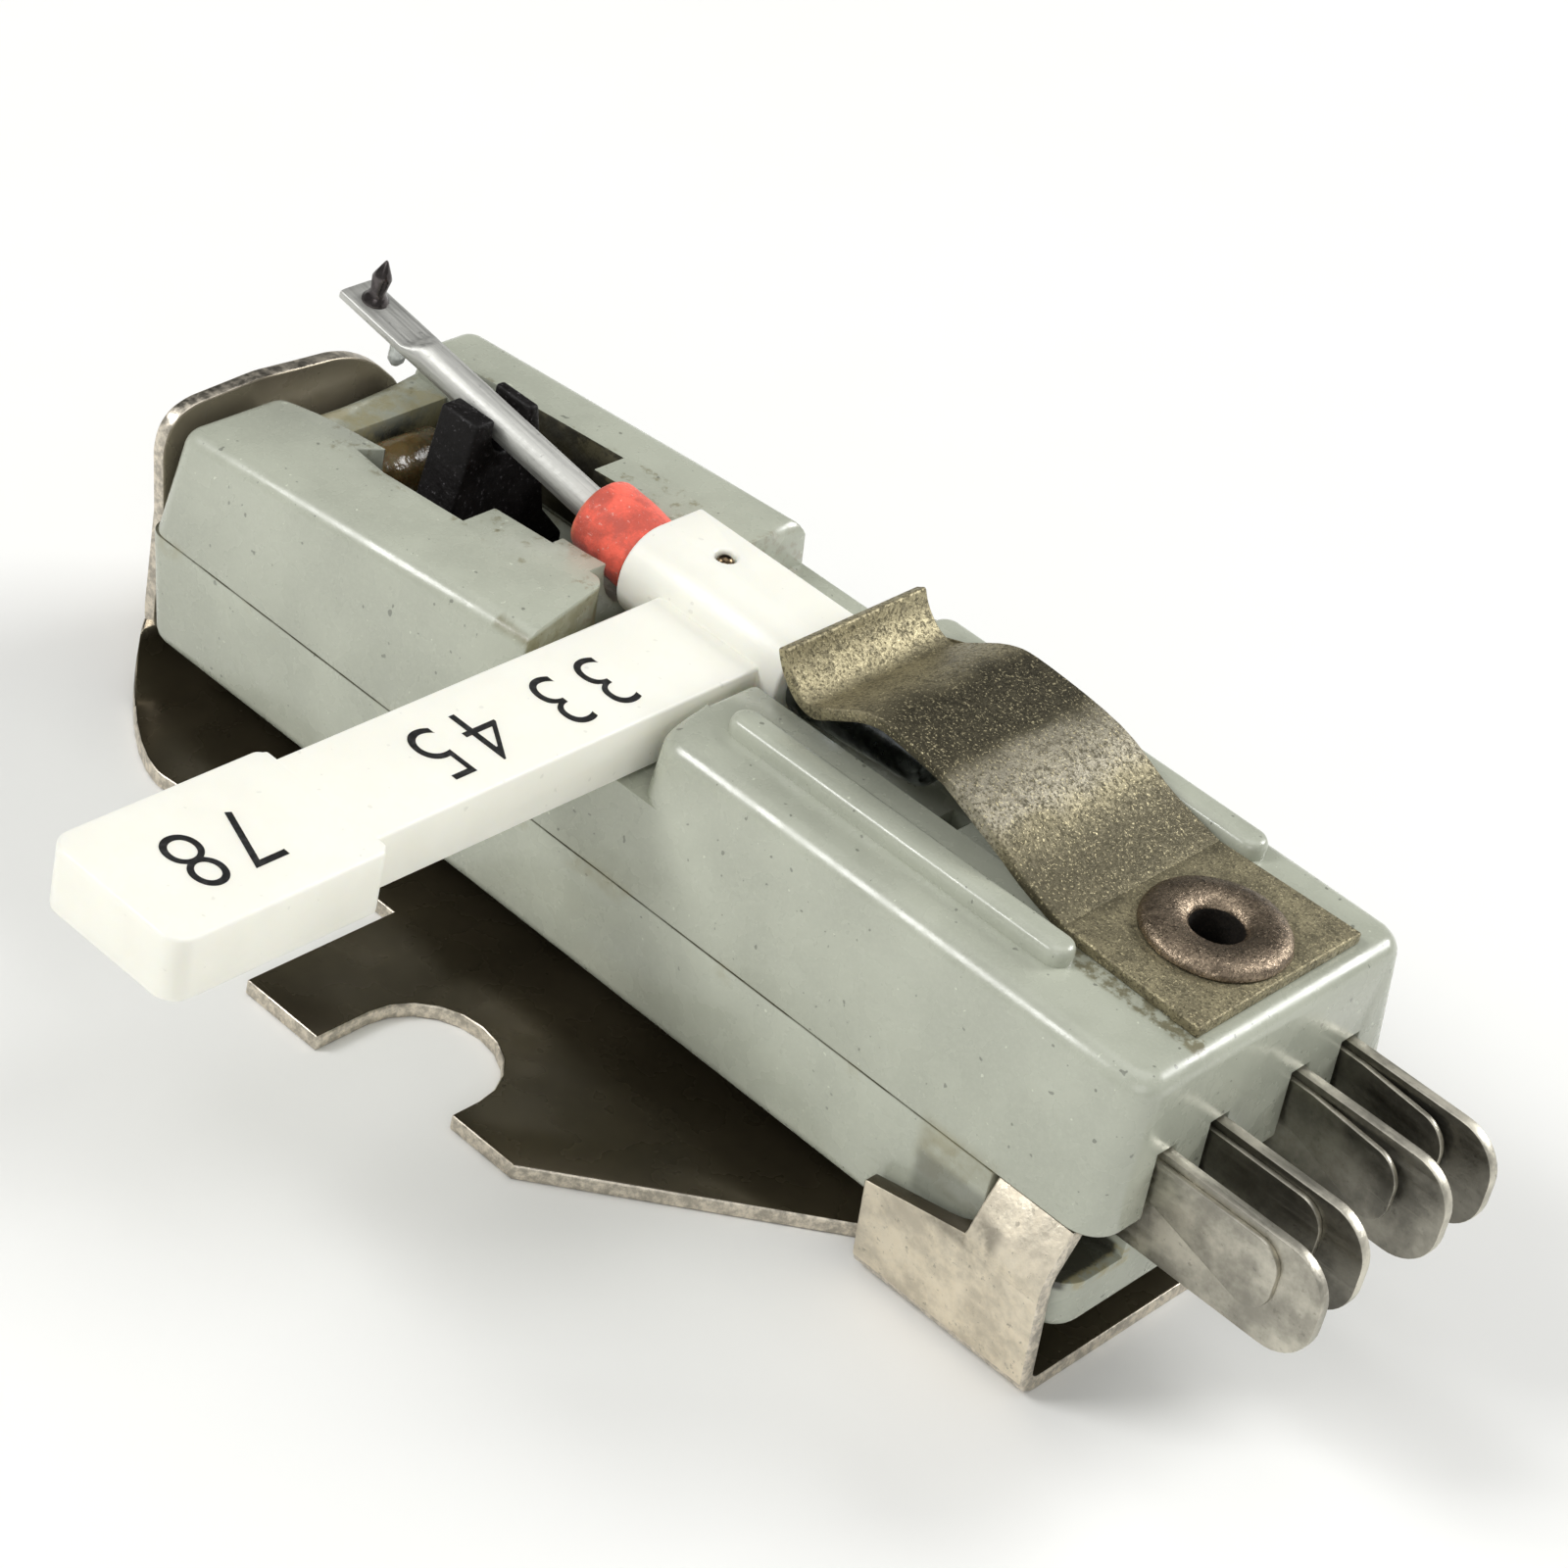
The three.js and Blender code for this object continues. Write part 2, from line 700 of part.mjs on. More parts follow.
// The upright part of the tongue as seen from the front, cut unevenly, as shares of its reach and height
function tongueFront() {
  const shares = [
    [-0.943, 0.606], [-1, 0.844], [-0.983, 0.914], [-0.92, 0.963], [-0.816, 0.986],
    [-0.385, 1], [-0.121, 0.986], [0.118, 0.975], [0.244, 0.954], [0.336, 0.926],
    [0.42, 0.895], [0.575, 0.808], [0.675, 0.703], [0.704, 0.598],
  ];
  const foot = flareReach * flareFootShare;
  const low = tongueFootHeight - sheetThickness;
  const edge = shares.map(([across, up]) => [tongueReach * across, tongueHeight * up]);
  return polygon([[-foot, low], [-foot, tongueFootHeight], ...edge, [foot, tongueFootHeight], [foot, low]]);
}

// Section of a side wall in Y and Z, from the plate round the bend to the top
function wallSection(side, top) {
  const bendY = wallFoot;
  const bendZ = plateTop + wallBendRadius;
  const steps = arcSegments;
  const arcPoint = (radius, step) => {
    const angle = (step / steps) * quarterTurn;
    return [side * (bendY + radius * Math.sin(angle)), bendZ - radius * Math.cos(angle)];
  };
  const outside = [];
  const inside = [];
  for (let step = 0; step <= steps; step += 1) {
    outside.push(arcPoint(wallBendRadius + sheetThickness, step));
    inside.unshift(arcPoint(wallBendRadius, step));
  }
  return polygon([
    [side * (bendY - overrun / 2), 0], ...outside, [side * wallOuter, top],
    [side * wallInner, top], ...inside, [side * (bendY - overrun / 2), plateTop],
  ]);
}

function tabSection(side) {
  const length = Math.hypot(tabLean, tabRise);
  const outY = sheetThickness * tabRise / length;
  const outZ = sheetThickness * tabLean / length;
  const shoulder = wallTop + outZ - (sheetThickness - outY) * tabRise / tabLean;
  const [headY, headZ] = tabHead(side, 0);
  return polygon([
    [side * wallInner, wallTop - sheetThickness], tabFoot(side, 0), [headY, headZ],
    [headY + side * outY, headZ + outZ], [side * wallOuter, Math.max(shoulder, wallTop)],
    [side * wallOuter, wallTop - sheetThickness],
  ]);
}

function wallTopSlope() {
  const tabFront = wallRear - tabLength;
  return prismY(polygon([
    [wallFront - overrun, wallTop - wallFrontDrop], [wallFront, wallTop - wallFrontDrop],
    [tabFront, wallTop], [tabFront, wallTop + overrun], [wallFront - overrun, wallTop + overrun],
  ]), -bodyWidth, bodyWidth);
}

function makeBracket() {
  const bent = solidOf(prismY(tongueSection(), -flareReach, flareReach));
  const flare = polygon(mirroredY(flareOutline()));
  const foot = bent.intersect(solidOf(prismZ(flare, -overrun, tongueFootHeight)));
  const tongue = foot.add(bent.intersect(solidOf(prismX(tongueFront(), tongueOuter - overrun, 0))));
  const walls = [-1, 1].flatMap((side) => [
    prismX(wallSection(side, wallTop), wallFront, wallRear),
    prismX(tabSection(side), wallRear - tabLength, wallRear),
  ]);
  const sheet = [prismZ(plateOutline(), 0, plateTop), ...walls].map(solidOf)
    .reduce((whole, next) => whole.add(next), tongue);
  return piece('mounting_bracket', geometryOf(cutAll(sheet, [wallTopSlope()])), nickelSteel());
}

// Lever, drawn about its own axis
function hubSection() {
  const radii = [hubCornerRadius, 0, 0, hubCornerRadius];
  return roundedRectangle([-hubLeftReach, hubRightReach], [-hubHalfHeight, hubHalfHeight], radii);
}

function makeLever() {
  const armBottom = -hubHalfHeight;
  const armTop = armBottom + armThickness;
  const halfArm = armWidth / 2;
  const halfGrip = halfArm + gripOverhang;
  const round = gripCornerRadius;
  const arm = block([armMiddle - halfArm, armMiddle + halfArm], [-armReach - round, 0], [armBottom, armTop]);
  const gripPlan = roundedRectangle([armMiddle - halfGrip, armMiddle + halfGrip], [-gripReach, -armReach],
    [round, round, round / 2, round / 2]);
  const grip = prismZ(gripPlan, armBottom - gripExtraThickness, armTop + gripExtraThickness / 2);
  const peg = cylinderX(hubPegRadius, hubFront - hubPegLength, hubFront + hubPegLength, smallSegments);
  const blank = joinAll([prismX(hubSection(), hubFront, hubRear), arm, grip, peg]);
  const pinStation = hubFront + lockingPinInset;
  const whole = cutAll(blank, [
    cylinderX(axleShankRadius + fitClearance, hubRear - axleShankLength - fitClearance, hubRear + overrun),
    cylinderZ(lockingPinRadius + fitClearance, hubHalfHeight - lockingPinLength, hubHalfHeight + overrun,
      smallSegments).translate(pinStation, lockingPinShift, 0),
  ]);
  return piece('stylus_lever', geometryOf(whole), ivoryPlastic());
}

function makeLeverAxle() {
  const tip = hubRear + axleLength;
  const profile = [
    [0, hubRear - axleShankLength], [axleShankRadius, hubRear - axleShankLength], [axleShankRadius, hubRear],
    [axleRadius, hubRear], [axleTipRadius, tip - axleTipRound],
    [axleTipRadius - axleTipRound, tip], [0, tip],
  ];
  return piece('lever_axle', turned(profile).rotateY(quarterTurn), darkSteel());
}

function makeLockingPin() {
  const bottom = hubHalfHeight - lockingPinLength;
  const shoulder = hubHalfHeight - lockingPinRadius / 2;
  const profile = [
    [0, bottom], [lockingPinRadius, bottom], [lockingPinRadius, shoulder],
    [lockingPinRadius * Math.SQRT1_2, hubHalfHeight - lockingPinRadius / 6], [0, hubHalfHeight],
  ];
  const pin = turned(profile, smallSegments).translate(hubFront + lockingPinInset, lockingPinShift, 0);
  return piece('hub_locking_pin', pin, darkSteel());
}

// Cantilever assembly, drawn along its own line with X towards the hub and zero at the hub's front
function makeSleeve() {
  const tight = tubeRadius + rubberClearance;
  const wide = coreRadius + rubberClearance;
  const shoulder = sleeveLip - sleeveLength;
  const profile = [
    [tight, -sleeveLength], [sleeveRadius - sleeveRimRound, -sleeveLength],
    [sleeveRadius, sleeveRimRound - sleeveLength], [sleeveRadius, overrun], [wide, overrun],
    [wide, shoulder], [tight, shoulder], [tight, -sleeveLength],
  ];
  const tube = turned(profile).rotateY(quarterTurn);
  const behindHub = block([-sleeveGap, overrun * 2], [-overrun, overrun], [-overrun * 2, overrun * 2])
    .rotateY(-cantileverTilt);
  return piece('cantilever_sleeve', geometryOf(cutAll(solidOf(tube), [behindHub])), redRubber());
}

function makeSleeveCore() {
  const front = sleeveLip - sleeveLength + rubberClearance;
  const rear = front + coreLength;
  const bore = tubeRadius + rubberClearance;
  const profile = [[bore, front], [coreRadius, front], [coreRadius, rear], [bore, rear], [bore, front]];
  return piece('sleeve_core', turned(profile).rotateY(quarterTurn), darkRubber());
}

// A loft through rings that share one number of points, closed by a fan at each end
function loft(rings) {
  const count = rings[0].length;
  const points = rings.flat();
  const triangles = [];
  for (let ring = 0; ring + 1 < rings.length; ring += 1) {
    for (let index = 0; index < count; index += 1) {
      const next = (index + 1) % count;
      const [a, b] = [ring * count + index, ring * count + next];
      triangles.push(a, b, a + count, b, b + count, a + count);
    }
  }
  [0, rings.length - 1].forEach((ring, end) => {
    const centre = points.length;
    const addPoint = (sum, point) => sum.map((value, axis) => value + point[axis] / count);
    const middle = rings[ring].reduce(addPoint, [0, 0, 0]);
    points.push(middle);
    for (let index = 0; index < count; index += 1) {
      const pair = [ring * count + index, ring * count + (index + 1) % count];
      if (end === 0) pair.reverse();
      triangles.push(centre, ...pair);
    }
  });
  const geometry = new THREE.BufferGeometry();
  geometry.setAttribute('position', new THREE.Float32BufferAttribute(points.flat(), 3));
  geometry.setIndex(triangles);
  return geometry;
}

// The tube is round up to its bend and is then pressed flat, with round edges
function cantileverRing(station, halfWidth, halfHeight, squareness) {
  const ring = [];
  for (let index = 0; index < smallSegments; index += 1) {
    const angle = (index / smallSegments) * 2 * halfTurn;
    const across = Math.sign(Math.cos(angle)) * Math.abs(Math.cos(angle)) ** squareness;
    const upward = Math.sign(Math.sin(angle)) * Math.abs(Math.sin(angle)) ** squareness;
    ring.push([station, halfWidth * across, halfHeight * upward]);
  }
  return ring;
}

function makeCantilever() {
  const rear = sleeveLip - sleeveLength + rubberClearance + coreLength;
  const middle = (tubeRoundEnd + flatStart) / 2;
  const midWidth = (tubeRadius + flatHalfWidth) / 2;
  const midHeight = (tubeRadius + flatHalfThickness) / 2;
  return piece('cantilever', loft([
    cantileverRing(-cantileverLength, flatHalfWidth, flatHalfThickness, flatSquareness),
    cantileverRing(-flatStart, flatHalfWidth, flatHalfThickness, flatSquareness),
    cantileverRing(-middle, midWidth, midHeight, bendSquareness),
    cantileverRing(-tubeRoundEnd, tubeRadius, tubeRadius, roundSquareness),
    cantileverRing(rear, tubeRadius, tubeRadius, roundSquareness),
  ]), aluminium());
}

function makeStylus(name, inset, reach, up, finish) {
  const seat = flatHalfThickness;
  const cone = reach - stylusConeLength;
  const profile = [
    [0, seat], [stylusSeatRadius, seat], [stylusRadius, seat + stylusSeatHeight], [stylusRadius, cone],
    [stylusTipRadius, reach - stylusTipRadius], [0, reach],
  ];
  const stylus = turned(profile, smallSegments).translate(inset - cantileverLength, 0, 0);
  if (up < 0) stylus.rotateX(halfTurn);
  return piece(name, stylus, finish);
}

// Piezo strips, two at opposite slants below the stylus line
function stripBar(side, from, to, clearance) {
  const thickness = stripThickness + 2 * clearance;
  const width = stripWidth + 2 * clearance;
  const middle = stylusLineOffset + side * stripSpread;
  return new THREE.BoxGeometry(to - from, thickness, width)
    .rotateX(side * stripTilt).translate((from + to) / 2, middle, stripHeight);
}

function stripBores(from, to) {
  return [-1, 1].map((side) => stripBar(side, from, to, stripClearance));
}

function makeStrip(side) {
  const name = side < 0 ? 'piezo_element_left' : 'piezo_element_right';
  return piece(name, stripBar(side, stripStation, stripRear, 0), piezoCeramic());
}

// The fork stands on both strips and holds the tube between its arms
function makeFork() {
  const tubeHeight = cantileverHeight(forkStation + forkThickness / 2);
  const gap = tubeRadius + forkClearance;
  const tipHeight = tubeHeight + forkTipRise;
  const waistHeight = cavityRoof + forkShoulderRise;
  const shape = new THREE.Shape();
  const bottom = cavityFloor + forkFloorGap;
  const shoulder = stripHeight + stripWidth / 2 + forkBaseShoulder / 2;
  shape.moveTo(-forkBaseReach, bottom);
  shape.lineTo(forkBaseReach, bottom);
  shape.lineTo(forkBaseReach, shoulder);
  shape.lineTo(forkWaistReach, waistHeight);
  shape.lineTo(forkRightTipReach, tipHeight);
  shape.lineTo(gap, tipHeight);
  shape.absarc(0, tubeHeight, gap, 0, halfTurn, true);
  shape.lineTo(-gap, tipHeight);
  shape.lineTo(-forkLeftTipReach, tipHeight);
  shape.lineTo(-forkWaistReach, waistHeight);
  shape.lineTo(-forkBaseReach, shoulder);
  shape.closePath();
  const blank = prismX(shape, forkStation, forkStation + forkThickness).translate(0, stylusLineOffset, 0);
  const bores = stripBores(forkStation - overrun, forkStation + forkThickness + overrun);
  return piece('coupler_fork', geometryOf(cutAll(solidOf(blank), bores)), blackRubber());
}

function makeFrontDamper() {
  const front = shellWall + damperFrontGap;
  const rear = front + damperLength;
  const radius = damperLength / 2;
  const baseTop = cavityRoof - clampRoofGap;
  const top = seamHeight + damperRise;
  const base = block([front, rear], onLine(damperBaseReach, damperBaseReach), [cavityFloor, baseTop]);
  const roll = roundedRectangle([front, rear], [cavityFloor, top], [0, 0, radius, radius]);
  const blank = joinAll([base, prismY(roll, ...onLine(damperTopReach, damperTopReach))]);
  const bores = stripBores(stripStation - stripClearance, rear + overrun);
  return piece('front_damper', geometryOf(cutAll(blank, bores)), amberRubber());
}

function makeClampHalf(name, low, high) {
  const rear = stripRear - clampOverhang;
  const half = block([rear - clampLength, rear], onLine(clampReach, clampReach), [low, high]);
  const bores = stripBores(rear - clampLength - overrun, rear + overrun);
  return piece(name, geometryOf(cutAll(solidOf(half), bores)), blackRubber());
}

// A lead runs back from its strip, slants across and runs into its blade's tail
function makeLead(index) {
  const side = index < 2 ? -1 : 1;
  const shift = index % 2 === 0 ? -leadSpread : leadSpread;
  const start = stylusLineOffset + side * stripSpread + shift;
  const end = bladePlaces[index].reach;
  const half = leadWidth / 2;
  const bend = (tailFront - stripRear) * leadBendShare;
  const bends = [stripRear, stripRear + bend, tailFront - bend, tailFront];
  const places = [start, start, end, end];
  const left = bends.map((station, at) => [station, places[at] - half]);
  const right = bends.map((station, at) => [station, places[at] + half]).reverse();
  const low = stripHeight - leadThickness / 2;
  const lead = prismZ(polygon([...left, ...right]), low, low + leadThickness);
  return piece(`element_lead_${index + 1}`, lead, tinnedBrass());
}

function makeBlade(index) {
  const { reach } = bladePlaces[index];
  const tailLow = stripHeight - tailHeight / 2;
  const tailHigh = stripHeight + tailHeight / 2;
  const inset = bladeTip(index) - bladeTipRadius;
  const shape = new THREE.Shape();
  shape.moveTo(tailFront, tailLow);
  shape.lineTo(bladeRoot, tailLow);
  shape.lineTo(bladeRoot, bladeBottom);
  shape.absarc(inset, bladeBottom + bladeTipRadius, bladeTipRadius, -quarterTurn, 0);
  shape.absarc(inset, bladeTop - bladeTipRadius, bladeTipRadius, 0, quarterTurn);
  shape.lineTo(bladeRoot, bladeTop);
  shape.lineTo(bladeRoot, tailHigh);
  shape.lineTo(tailFront, tailHigh);
  shape.closePath();
  const blade = prismY(shape, reach - bladeThickness / 2, reach + bladeThickness / 2);
  return piece(`terminal_blade_${index + 1}`, blade, tinnedBrass());
}

// A leaf lies against its blade inside the wall, and can stand away from it behind the body
function makeLeaf(index) {
  const { reach, splay } = bladePlaces[index];
  const root = rearCavityEnd - leafRoot;
  const bend = bodyLength + leafBendMargin;
  const tip = bladeTip(index) - leafTipInset;
  const low = bladeTop - leafTopInset - leafHeight;
  const high = bladeTop - leafTopInset;
  const face = reach - bladeThickness / 2;
  const away = face - (tip - bend) * Math.tan(splay);
  const plan = prismZ(polygon([
    [root, face - leafThickness], [bend, face - leafThickness], [tip, away - leafThickness],
    [tip, away], [bend, face], [root, face],
  ]), low - overrun, high + overrun);
  const outline = roundedRectangle([root - overrun, tip], [low, high], [0, leafTipRadius, leafTipRadius, 0]);
  const leaf = solidOf(plan).intersect(solidOf(prismY(outline, away - overrun, face + overrun)));
  return piece(`contact_leaf_${index + 1}`, geometryOf(leaf), tinnedBrass());
}

// The clip narrows evenly from its foot to its lip
function clipHalfWidth(station) {
  const share = (clipRear - station) / (clipRear - clipTroughStation + clipLipReach);
  return clipFootHalfWidth + share * (clipLipHalfWidth - clipFootHalfWidth);
}

function taperClip(point) {
  point.y = stylusLineOffset + point.y * clipHalfWidth(point.x);
}

function makeClipFoot() {
  const plate = warp(block([clipFold, clipRear], [-1, 1], [bodyTop, bodyTop + clipThickness]), taperClip);
  const hole = cylinderZ(eyeletBarrelRadius + eyeletClearance, bodyTop - overrun, bodyTop + overrun)
    .translate(eyeletStation, stylusLineOffset, 0);
  return piece('clip_foot', geometryOf(cutAll(solidOf(plate), [hole])), clipBronze());
}

// The arm's middle line: level at the fold, over the crest, down into the trough and up to the lip
function clipMiddleLine() {
  const level = bodyTop + clipThickness / 2;
  const along = (clipTroughStation - hubRear) / axleLength;
  const axleAtTrough = axleRadius + along * (axleTipRadius - axleRadius);
  const trough = leverHeight + axleAtTrough + clipSeatGap + clipThickness / 2;
  const crest = level + clipCrestRise;
  const run = clipFold - clipCrestStation;
  const drop = clipCrestStation - clipTroughStation;
  const fallShares = [[0.42, 0.79], [0.72, 0.3]];
  const dipShares = [[0.38, 0.9], [0.78, 0.32]];
  const lipShares = [[0.42, 0.12], [0.8, 0.55]];
  const fall = fallShares.map(([back, up]) => [clipCrestStation + run * back, level + clipCrestRise * up]);
  const dip = dipShares.map(([on, up]) => [clipCrestStation - drop * on, trough + (crest - trough) * up]);
  const lip = lipShares.map(([on, up]) => [clipTroughStation - clipLipReach * on,
    trough + clipLipRise * up]);
  return [
    [clipFold, level], ...fall.reverse(), [clipCrestStation, crest], ...dip, [clipTroughStation, trough],
    ...lip, [clipTroughStation - clipLipReach, trough + clipLipRise],
  ].map(([x, z]) => new THREE.Vector2(x, z));
}

function makeClipArm() {
  const curve = new THREE.SplineCurve(clipMiddleLine());
  const steps = 2 * roundSegments;
  const above = [];
  const below = [];
  for (let step = 0; step <= steps; step += 1) {
    const share = step / steps;
    const point = curve.getPoint(share);
    const direction = step === 0 ? new THREE.Vector2(-1, 0) : curve.getTangent(share);
    const offset = new THREE.Vector2(direction.y, -direction.x).multiplyScalar(clipThickness / 2);
    above.push([point.x + offset.x, point.y + offset.y]);
    below.unshift([point.x - offset.x, point.y - offset.y]);
  }
  const arm = warp(prismY(polygon([...above, ...below]), -1, 1), taperClip);
  return piece('clip_arm', arm, clipBronze());
}

// A hollow rivet: a rounded flange on the clip's foot and a rolled edge under the shell's roof
function makeEyelet() {
  const foot = bodyTop + clipThickness;
  const crown = foot + eyeletFlangeHeight;
  const crownRadius = (eyeletBoreRadius + eyeletFlangeRadius) / 2;
  const round = eyeletFlangeHeight / 3;
  const rollBottom = rearCavityTop - eyeletRollHeight;
  const profile = [
    [eyeletBoreRadius, rollBottom], [eyeletRollRadius, rollBottom], [eyeletRollRadius, rearCavityTop],
    [eyeletBarrelRadius, rearCavityTop], [eyeletBarrelRadius, foot], [eyeletFlangeRadius, foot],
    [eyeletFlangeRadius, foot + round], [eyeletFlangeRadius - round, crown - round], [crownRadius, crown],
    [eyeletBoreRadius + round, crown - round], [eyeletBoreRadius, foot], [eyeletBoreRadius, rollBottom],
  ];
  const eyelet = turned(profile).translate(eyeletStation, stylusLineOffset, 0);
  return piece('clip_eyelet', eyelet, clipBronze());
}

// Assembly
const lever = new THREE.Group();
lever.position.set(0, stylusLineOffset, leverHeight);
lever.add(makeLever(), makeLeverAxle(), makeLockingPin());

const cantilever = new THREE.Group();
cantilever.position.set(hubFront, stylusLineOffset, leverHeight);
cantilever.rotation.y = cantileverTilt;
cantilever.add(
  makeSleeve(),
  makeSleeveCore(),
  makeCantilever(),
  makeStylus('stylus_fine', fineStylusInset, fineStylusReach, 1, sapphire()),
  makeStylus('stylus_coarse', coarseStylusInset, coarseStylusReach, -1, clearSapphire()),
);

const cartridge = new THREE.Group();
cartridge.position.x = -notchStation;
cartridge.add(
  makeBracket(),
  makeLowerShell(),
  makeUpperShell(),
  lever,
  cantilever,
  makeFork(),
  makeFrontDamper(),
  makeStrip(-1),
  makeStrip(1),
  makeClampHalf('element_clamp_lower', cavityFloor, stripHeight),
  makeClampHalf('element_clamp_upper', stripHeight, cavityRoof - clampRoofGap),
  makeClipFoot(),
  makeClipArm(),
  makeEyelet(),
);
bladePlaces.forEach((place, index) => {
  cartridge.add(makeBlade(index), makeLeaf(index), makeLead(index));
});

export default cartridge;
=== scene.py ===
"""Turnover phono cartridge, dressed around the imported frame."""

import json
import math

import bmesh
import bpy
from bpy.props import FloatProperty, FloatVectorProperty, IntProperty, StringProperty
from mathutils import Matrix, Vector


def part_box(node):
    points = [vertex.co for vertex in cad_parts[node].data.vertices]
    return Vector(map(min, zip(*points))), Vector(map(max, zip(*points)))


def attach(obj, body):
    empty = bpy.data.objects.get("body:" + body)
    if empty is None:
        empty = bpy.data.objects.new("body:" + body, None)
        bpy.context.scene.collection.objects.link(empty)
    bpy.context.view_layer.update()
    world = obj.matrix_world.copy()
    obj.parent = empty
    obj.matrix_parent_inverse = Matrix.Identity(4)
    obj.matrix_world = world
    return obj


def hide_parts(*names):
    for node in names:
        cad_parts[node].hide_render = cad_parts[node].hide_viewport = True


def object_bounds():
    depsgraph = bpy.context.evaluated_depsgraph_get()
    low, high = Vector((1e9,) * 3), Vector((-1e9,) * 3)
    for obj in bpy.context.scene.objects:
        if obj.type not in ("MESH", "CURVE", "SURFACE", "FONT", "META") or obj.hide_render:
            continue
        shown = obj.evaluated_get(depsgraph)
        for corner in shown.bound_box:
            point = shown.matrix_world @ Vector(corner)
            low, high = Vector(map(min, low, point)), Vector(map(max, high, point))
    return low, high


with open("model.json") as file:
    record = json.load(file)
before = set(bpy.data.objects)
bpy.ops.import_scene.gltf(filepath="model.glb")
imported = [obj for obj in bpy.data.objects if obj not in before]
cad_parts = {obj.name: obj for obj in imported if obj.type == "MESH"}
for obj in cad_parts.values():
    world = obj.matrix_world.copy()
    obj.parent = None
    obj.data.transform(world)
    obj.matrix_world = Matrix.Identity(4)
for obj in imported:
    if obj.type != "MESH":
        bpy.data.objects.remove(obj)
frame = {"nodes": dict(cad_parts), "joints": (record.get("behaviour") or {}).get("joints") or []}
cad_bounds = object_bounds()

bl_info = {
    "name": "Turnover Phono Cartridge",
    "version": (1, 0, 0),
    "blender": (4, 5, 0),
    "location": "3D View > Sidebar > Cartridge",
    "description": "Builds the cartridge's finished pieces, their materials and the stage",
    "category": "Object",
}

MM = 0.001
FULL_TURN = 2 * math.pi
QUARTER_TURN = math.pi / 2
MERGE_DISTANCE = 1e-7
FLAT_ANGLE = math.radians(0.6)
CORNER_ANGLE = math.radians(36)
SMOOTH_ANGLE = math.radians(37)
OBJECT_X = Vector((1, 0, 0))
OBJECT_Y = Vector((0, 1, 0))
OBJECT_Z = Vector((0, 0, 1))
NOTCH_STATION = 10.5


# Places taken from the frame


def station(value):
    """X in metres of a station measured in millimetres from the front of the nose."""
    return (value - NOTCH_STATION) * MM


def stations(start, end):
    return station(start), station(end)


def between(value, limits):
    return limits[0] < value < limits[1]


def middle(node):
    low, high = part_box(node)
    return (low + high) / 2


def joint(name):
    return next(entry for entry in frame["joints"] if entry["name"] == name)


lever_place = Vector(joint("lever_flip")["pos_m"])
tube_place = Vector(joint("cantilever_turn")["pos_m"])
tube_direction = Vector(joint("cantilever_turn")["axis"]).normalized()
tube_lift = math.atan2(tube_direction.z, -tube_direction.x)


def along_tube(distance, across, upward):
    """A point on the tube: its distance from the hub, and its offsets sideways and upwards."""
    turn = Matrix.Rotation(tube_lift, 4, "Y")
    return tube_place + turn @ Vector((-distance, across, upward))


# Edit mode work


def deselect_everything():
    bpy.ops.object.select_all(action="DESELECT")


def make_active(obj):
    deselect_everything()
    obj.select_set(True)
    bpy.context.view_layer.objects.active = obj
    return obj


def open_mesh(obj, mode="EDGE"):
    """Enter edit mode on one object with nothing selected."""
    make_active(obj)
    bpy.ops.object.mode_set(mode="EDIT")
    bpy.ops.mesh.select_mode(type=mode)
    bpy.ops.mesh.select_all(action="DESELECT")
    return bmesh.from_edit_mesh(obj.data)


def close_mesh():
    bpy.ops.object.mode_set(mode="OBJECT")


def turn_faces_out():
    """Recalculate the normals of the mesh in edit mode."""
    bpy.ops.mesh.select_all(action="SELECT")
    bpy.ops.mesh.normals_make_consistent(inside=False)


def copy_of_node(node, name, cuts=()):
    """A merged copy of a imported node's mesh, with its flat faces whole again.

    Each cut is a plane through holes, so that no flat face is left with a hole in it.
    """
    obj = bpy.data.objects.new(name, frame["nodes"][node].data.copy())
    bpy.context.scene.collection.objects.link(obj)
    obj.data.materials.clear()
    open_mesh(obj)
    bpy.ops.mesh.select_all(action="SELECT")
    bpy.ops.mesh.customdata_custom_splitnormals_clear()
    bpy.ops.mesh.remove_doubles(threshold=MERGE_DISTANCE)
    for place, normal in cuts:
        bpy.ops.mesh.select_all(action="SELECT")
        bpy.ops.mesh.bisect(plane_co=place, plane_no=normal)
        bpy.ops.mesh.mark_seam(clear=False)
    bpy.ops.mesh.select_all(action="SELECT")
    bpy.ops.mesh.dissolve_limited(angle_limit=FLAT_ANGLE, delimit={"SEAM"})
    close_mesh()
    return obj


def pick_edges(mesh, test, hollow):
    for edge in mesh.edges:
        if len(edge.link_faces) != 2 or edge.is_convex == hollow:
            continue
        centre = (edge.verts[0].co + edge.verts[1].co) / 2
        normals = [face.normal for face in edge.link_faces]
        edge.select_set(bool(test(centre, *normals)))
    mesh.select_flush_mode()


def fillet(obj, width, segments, test, hollow=False):
    """Round the edges that pass a test on their centre and the normals of their two faces."""
    mesh = open_mesh(obj)
    pick_edges(mesh, test, hollow)
    bmesh.update_edit_mesh(obj.data)
    bpy.ops.mesh.bevel(offset_type="OFFSET", offset=width, segments=segments, profile=0.5,
                       clamp_overlap=False, loop_slide=False)
    close_mesh()


def merge_near(obj, distance, test):
    """Merge the vertices that pass a test on their place where they lie closer than a distance."""
    mesh = open_mesh(obj, "VERT")
    for vertex in mesh.verts:
        vertex.select_set(bool(test(vertex.co)))
    bmesh.update_edit_mesh(obj.data)
    bpy.ops.mesh.remove_doubles(threshold=distance)
    close_mesh()


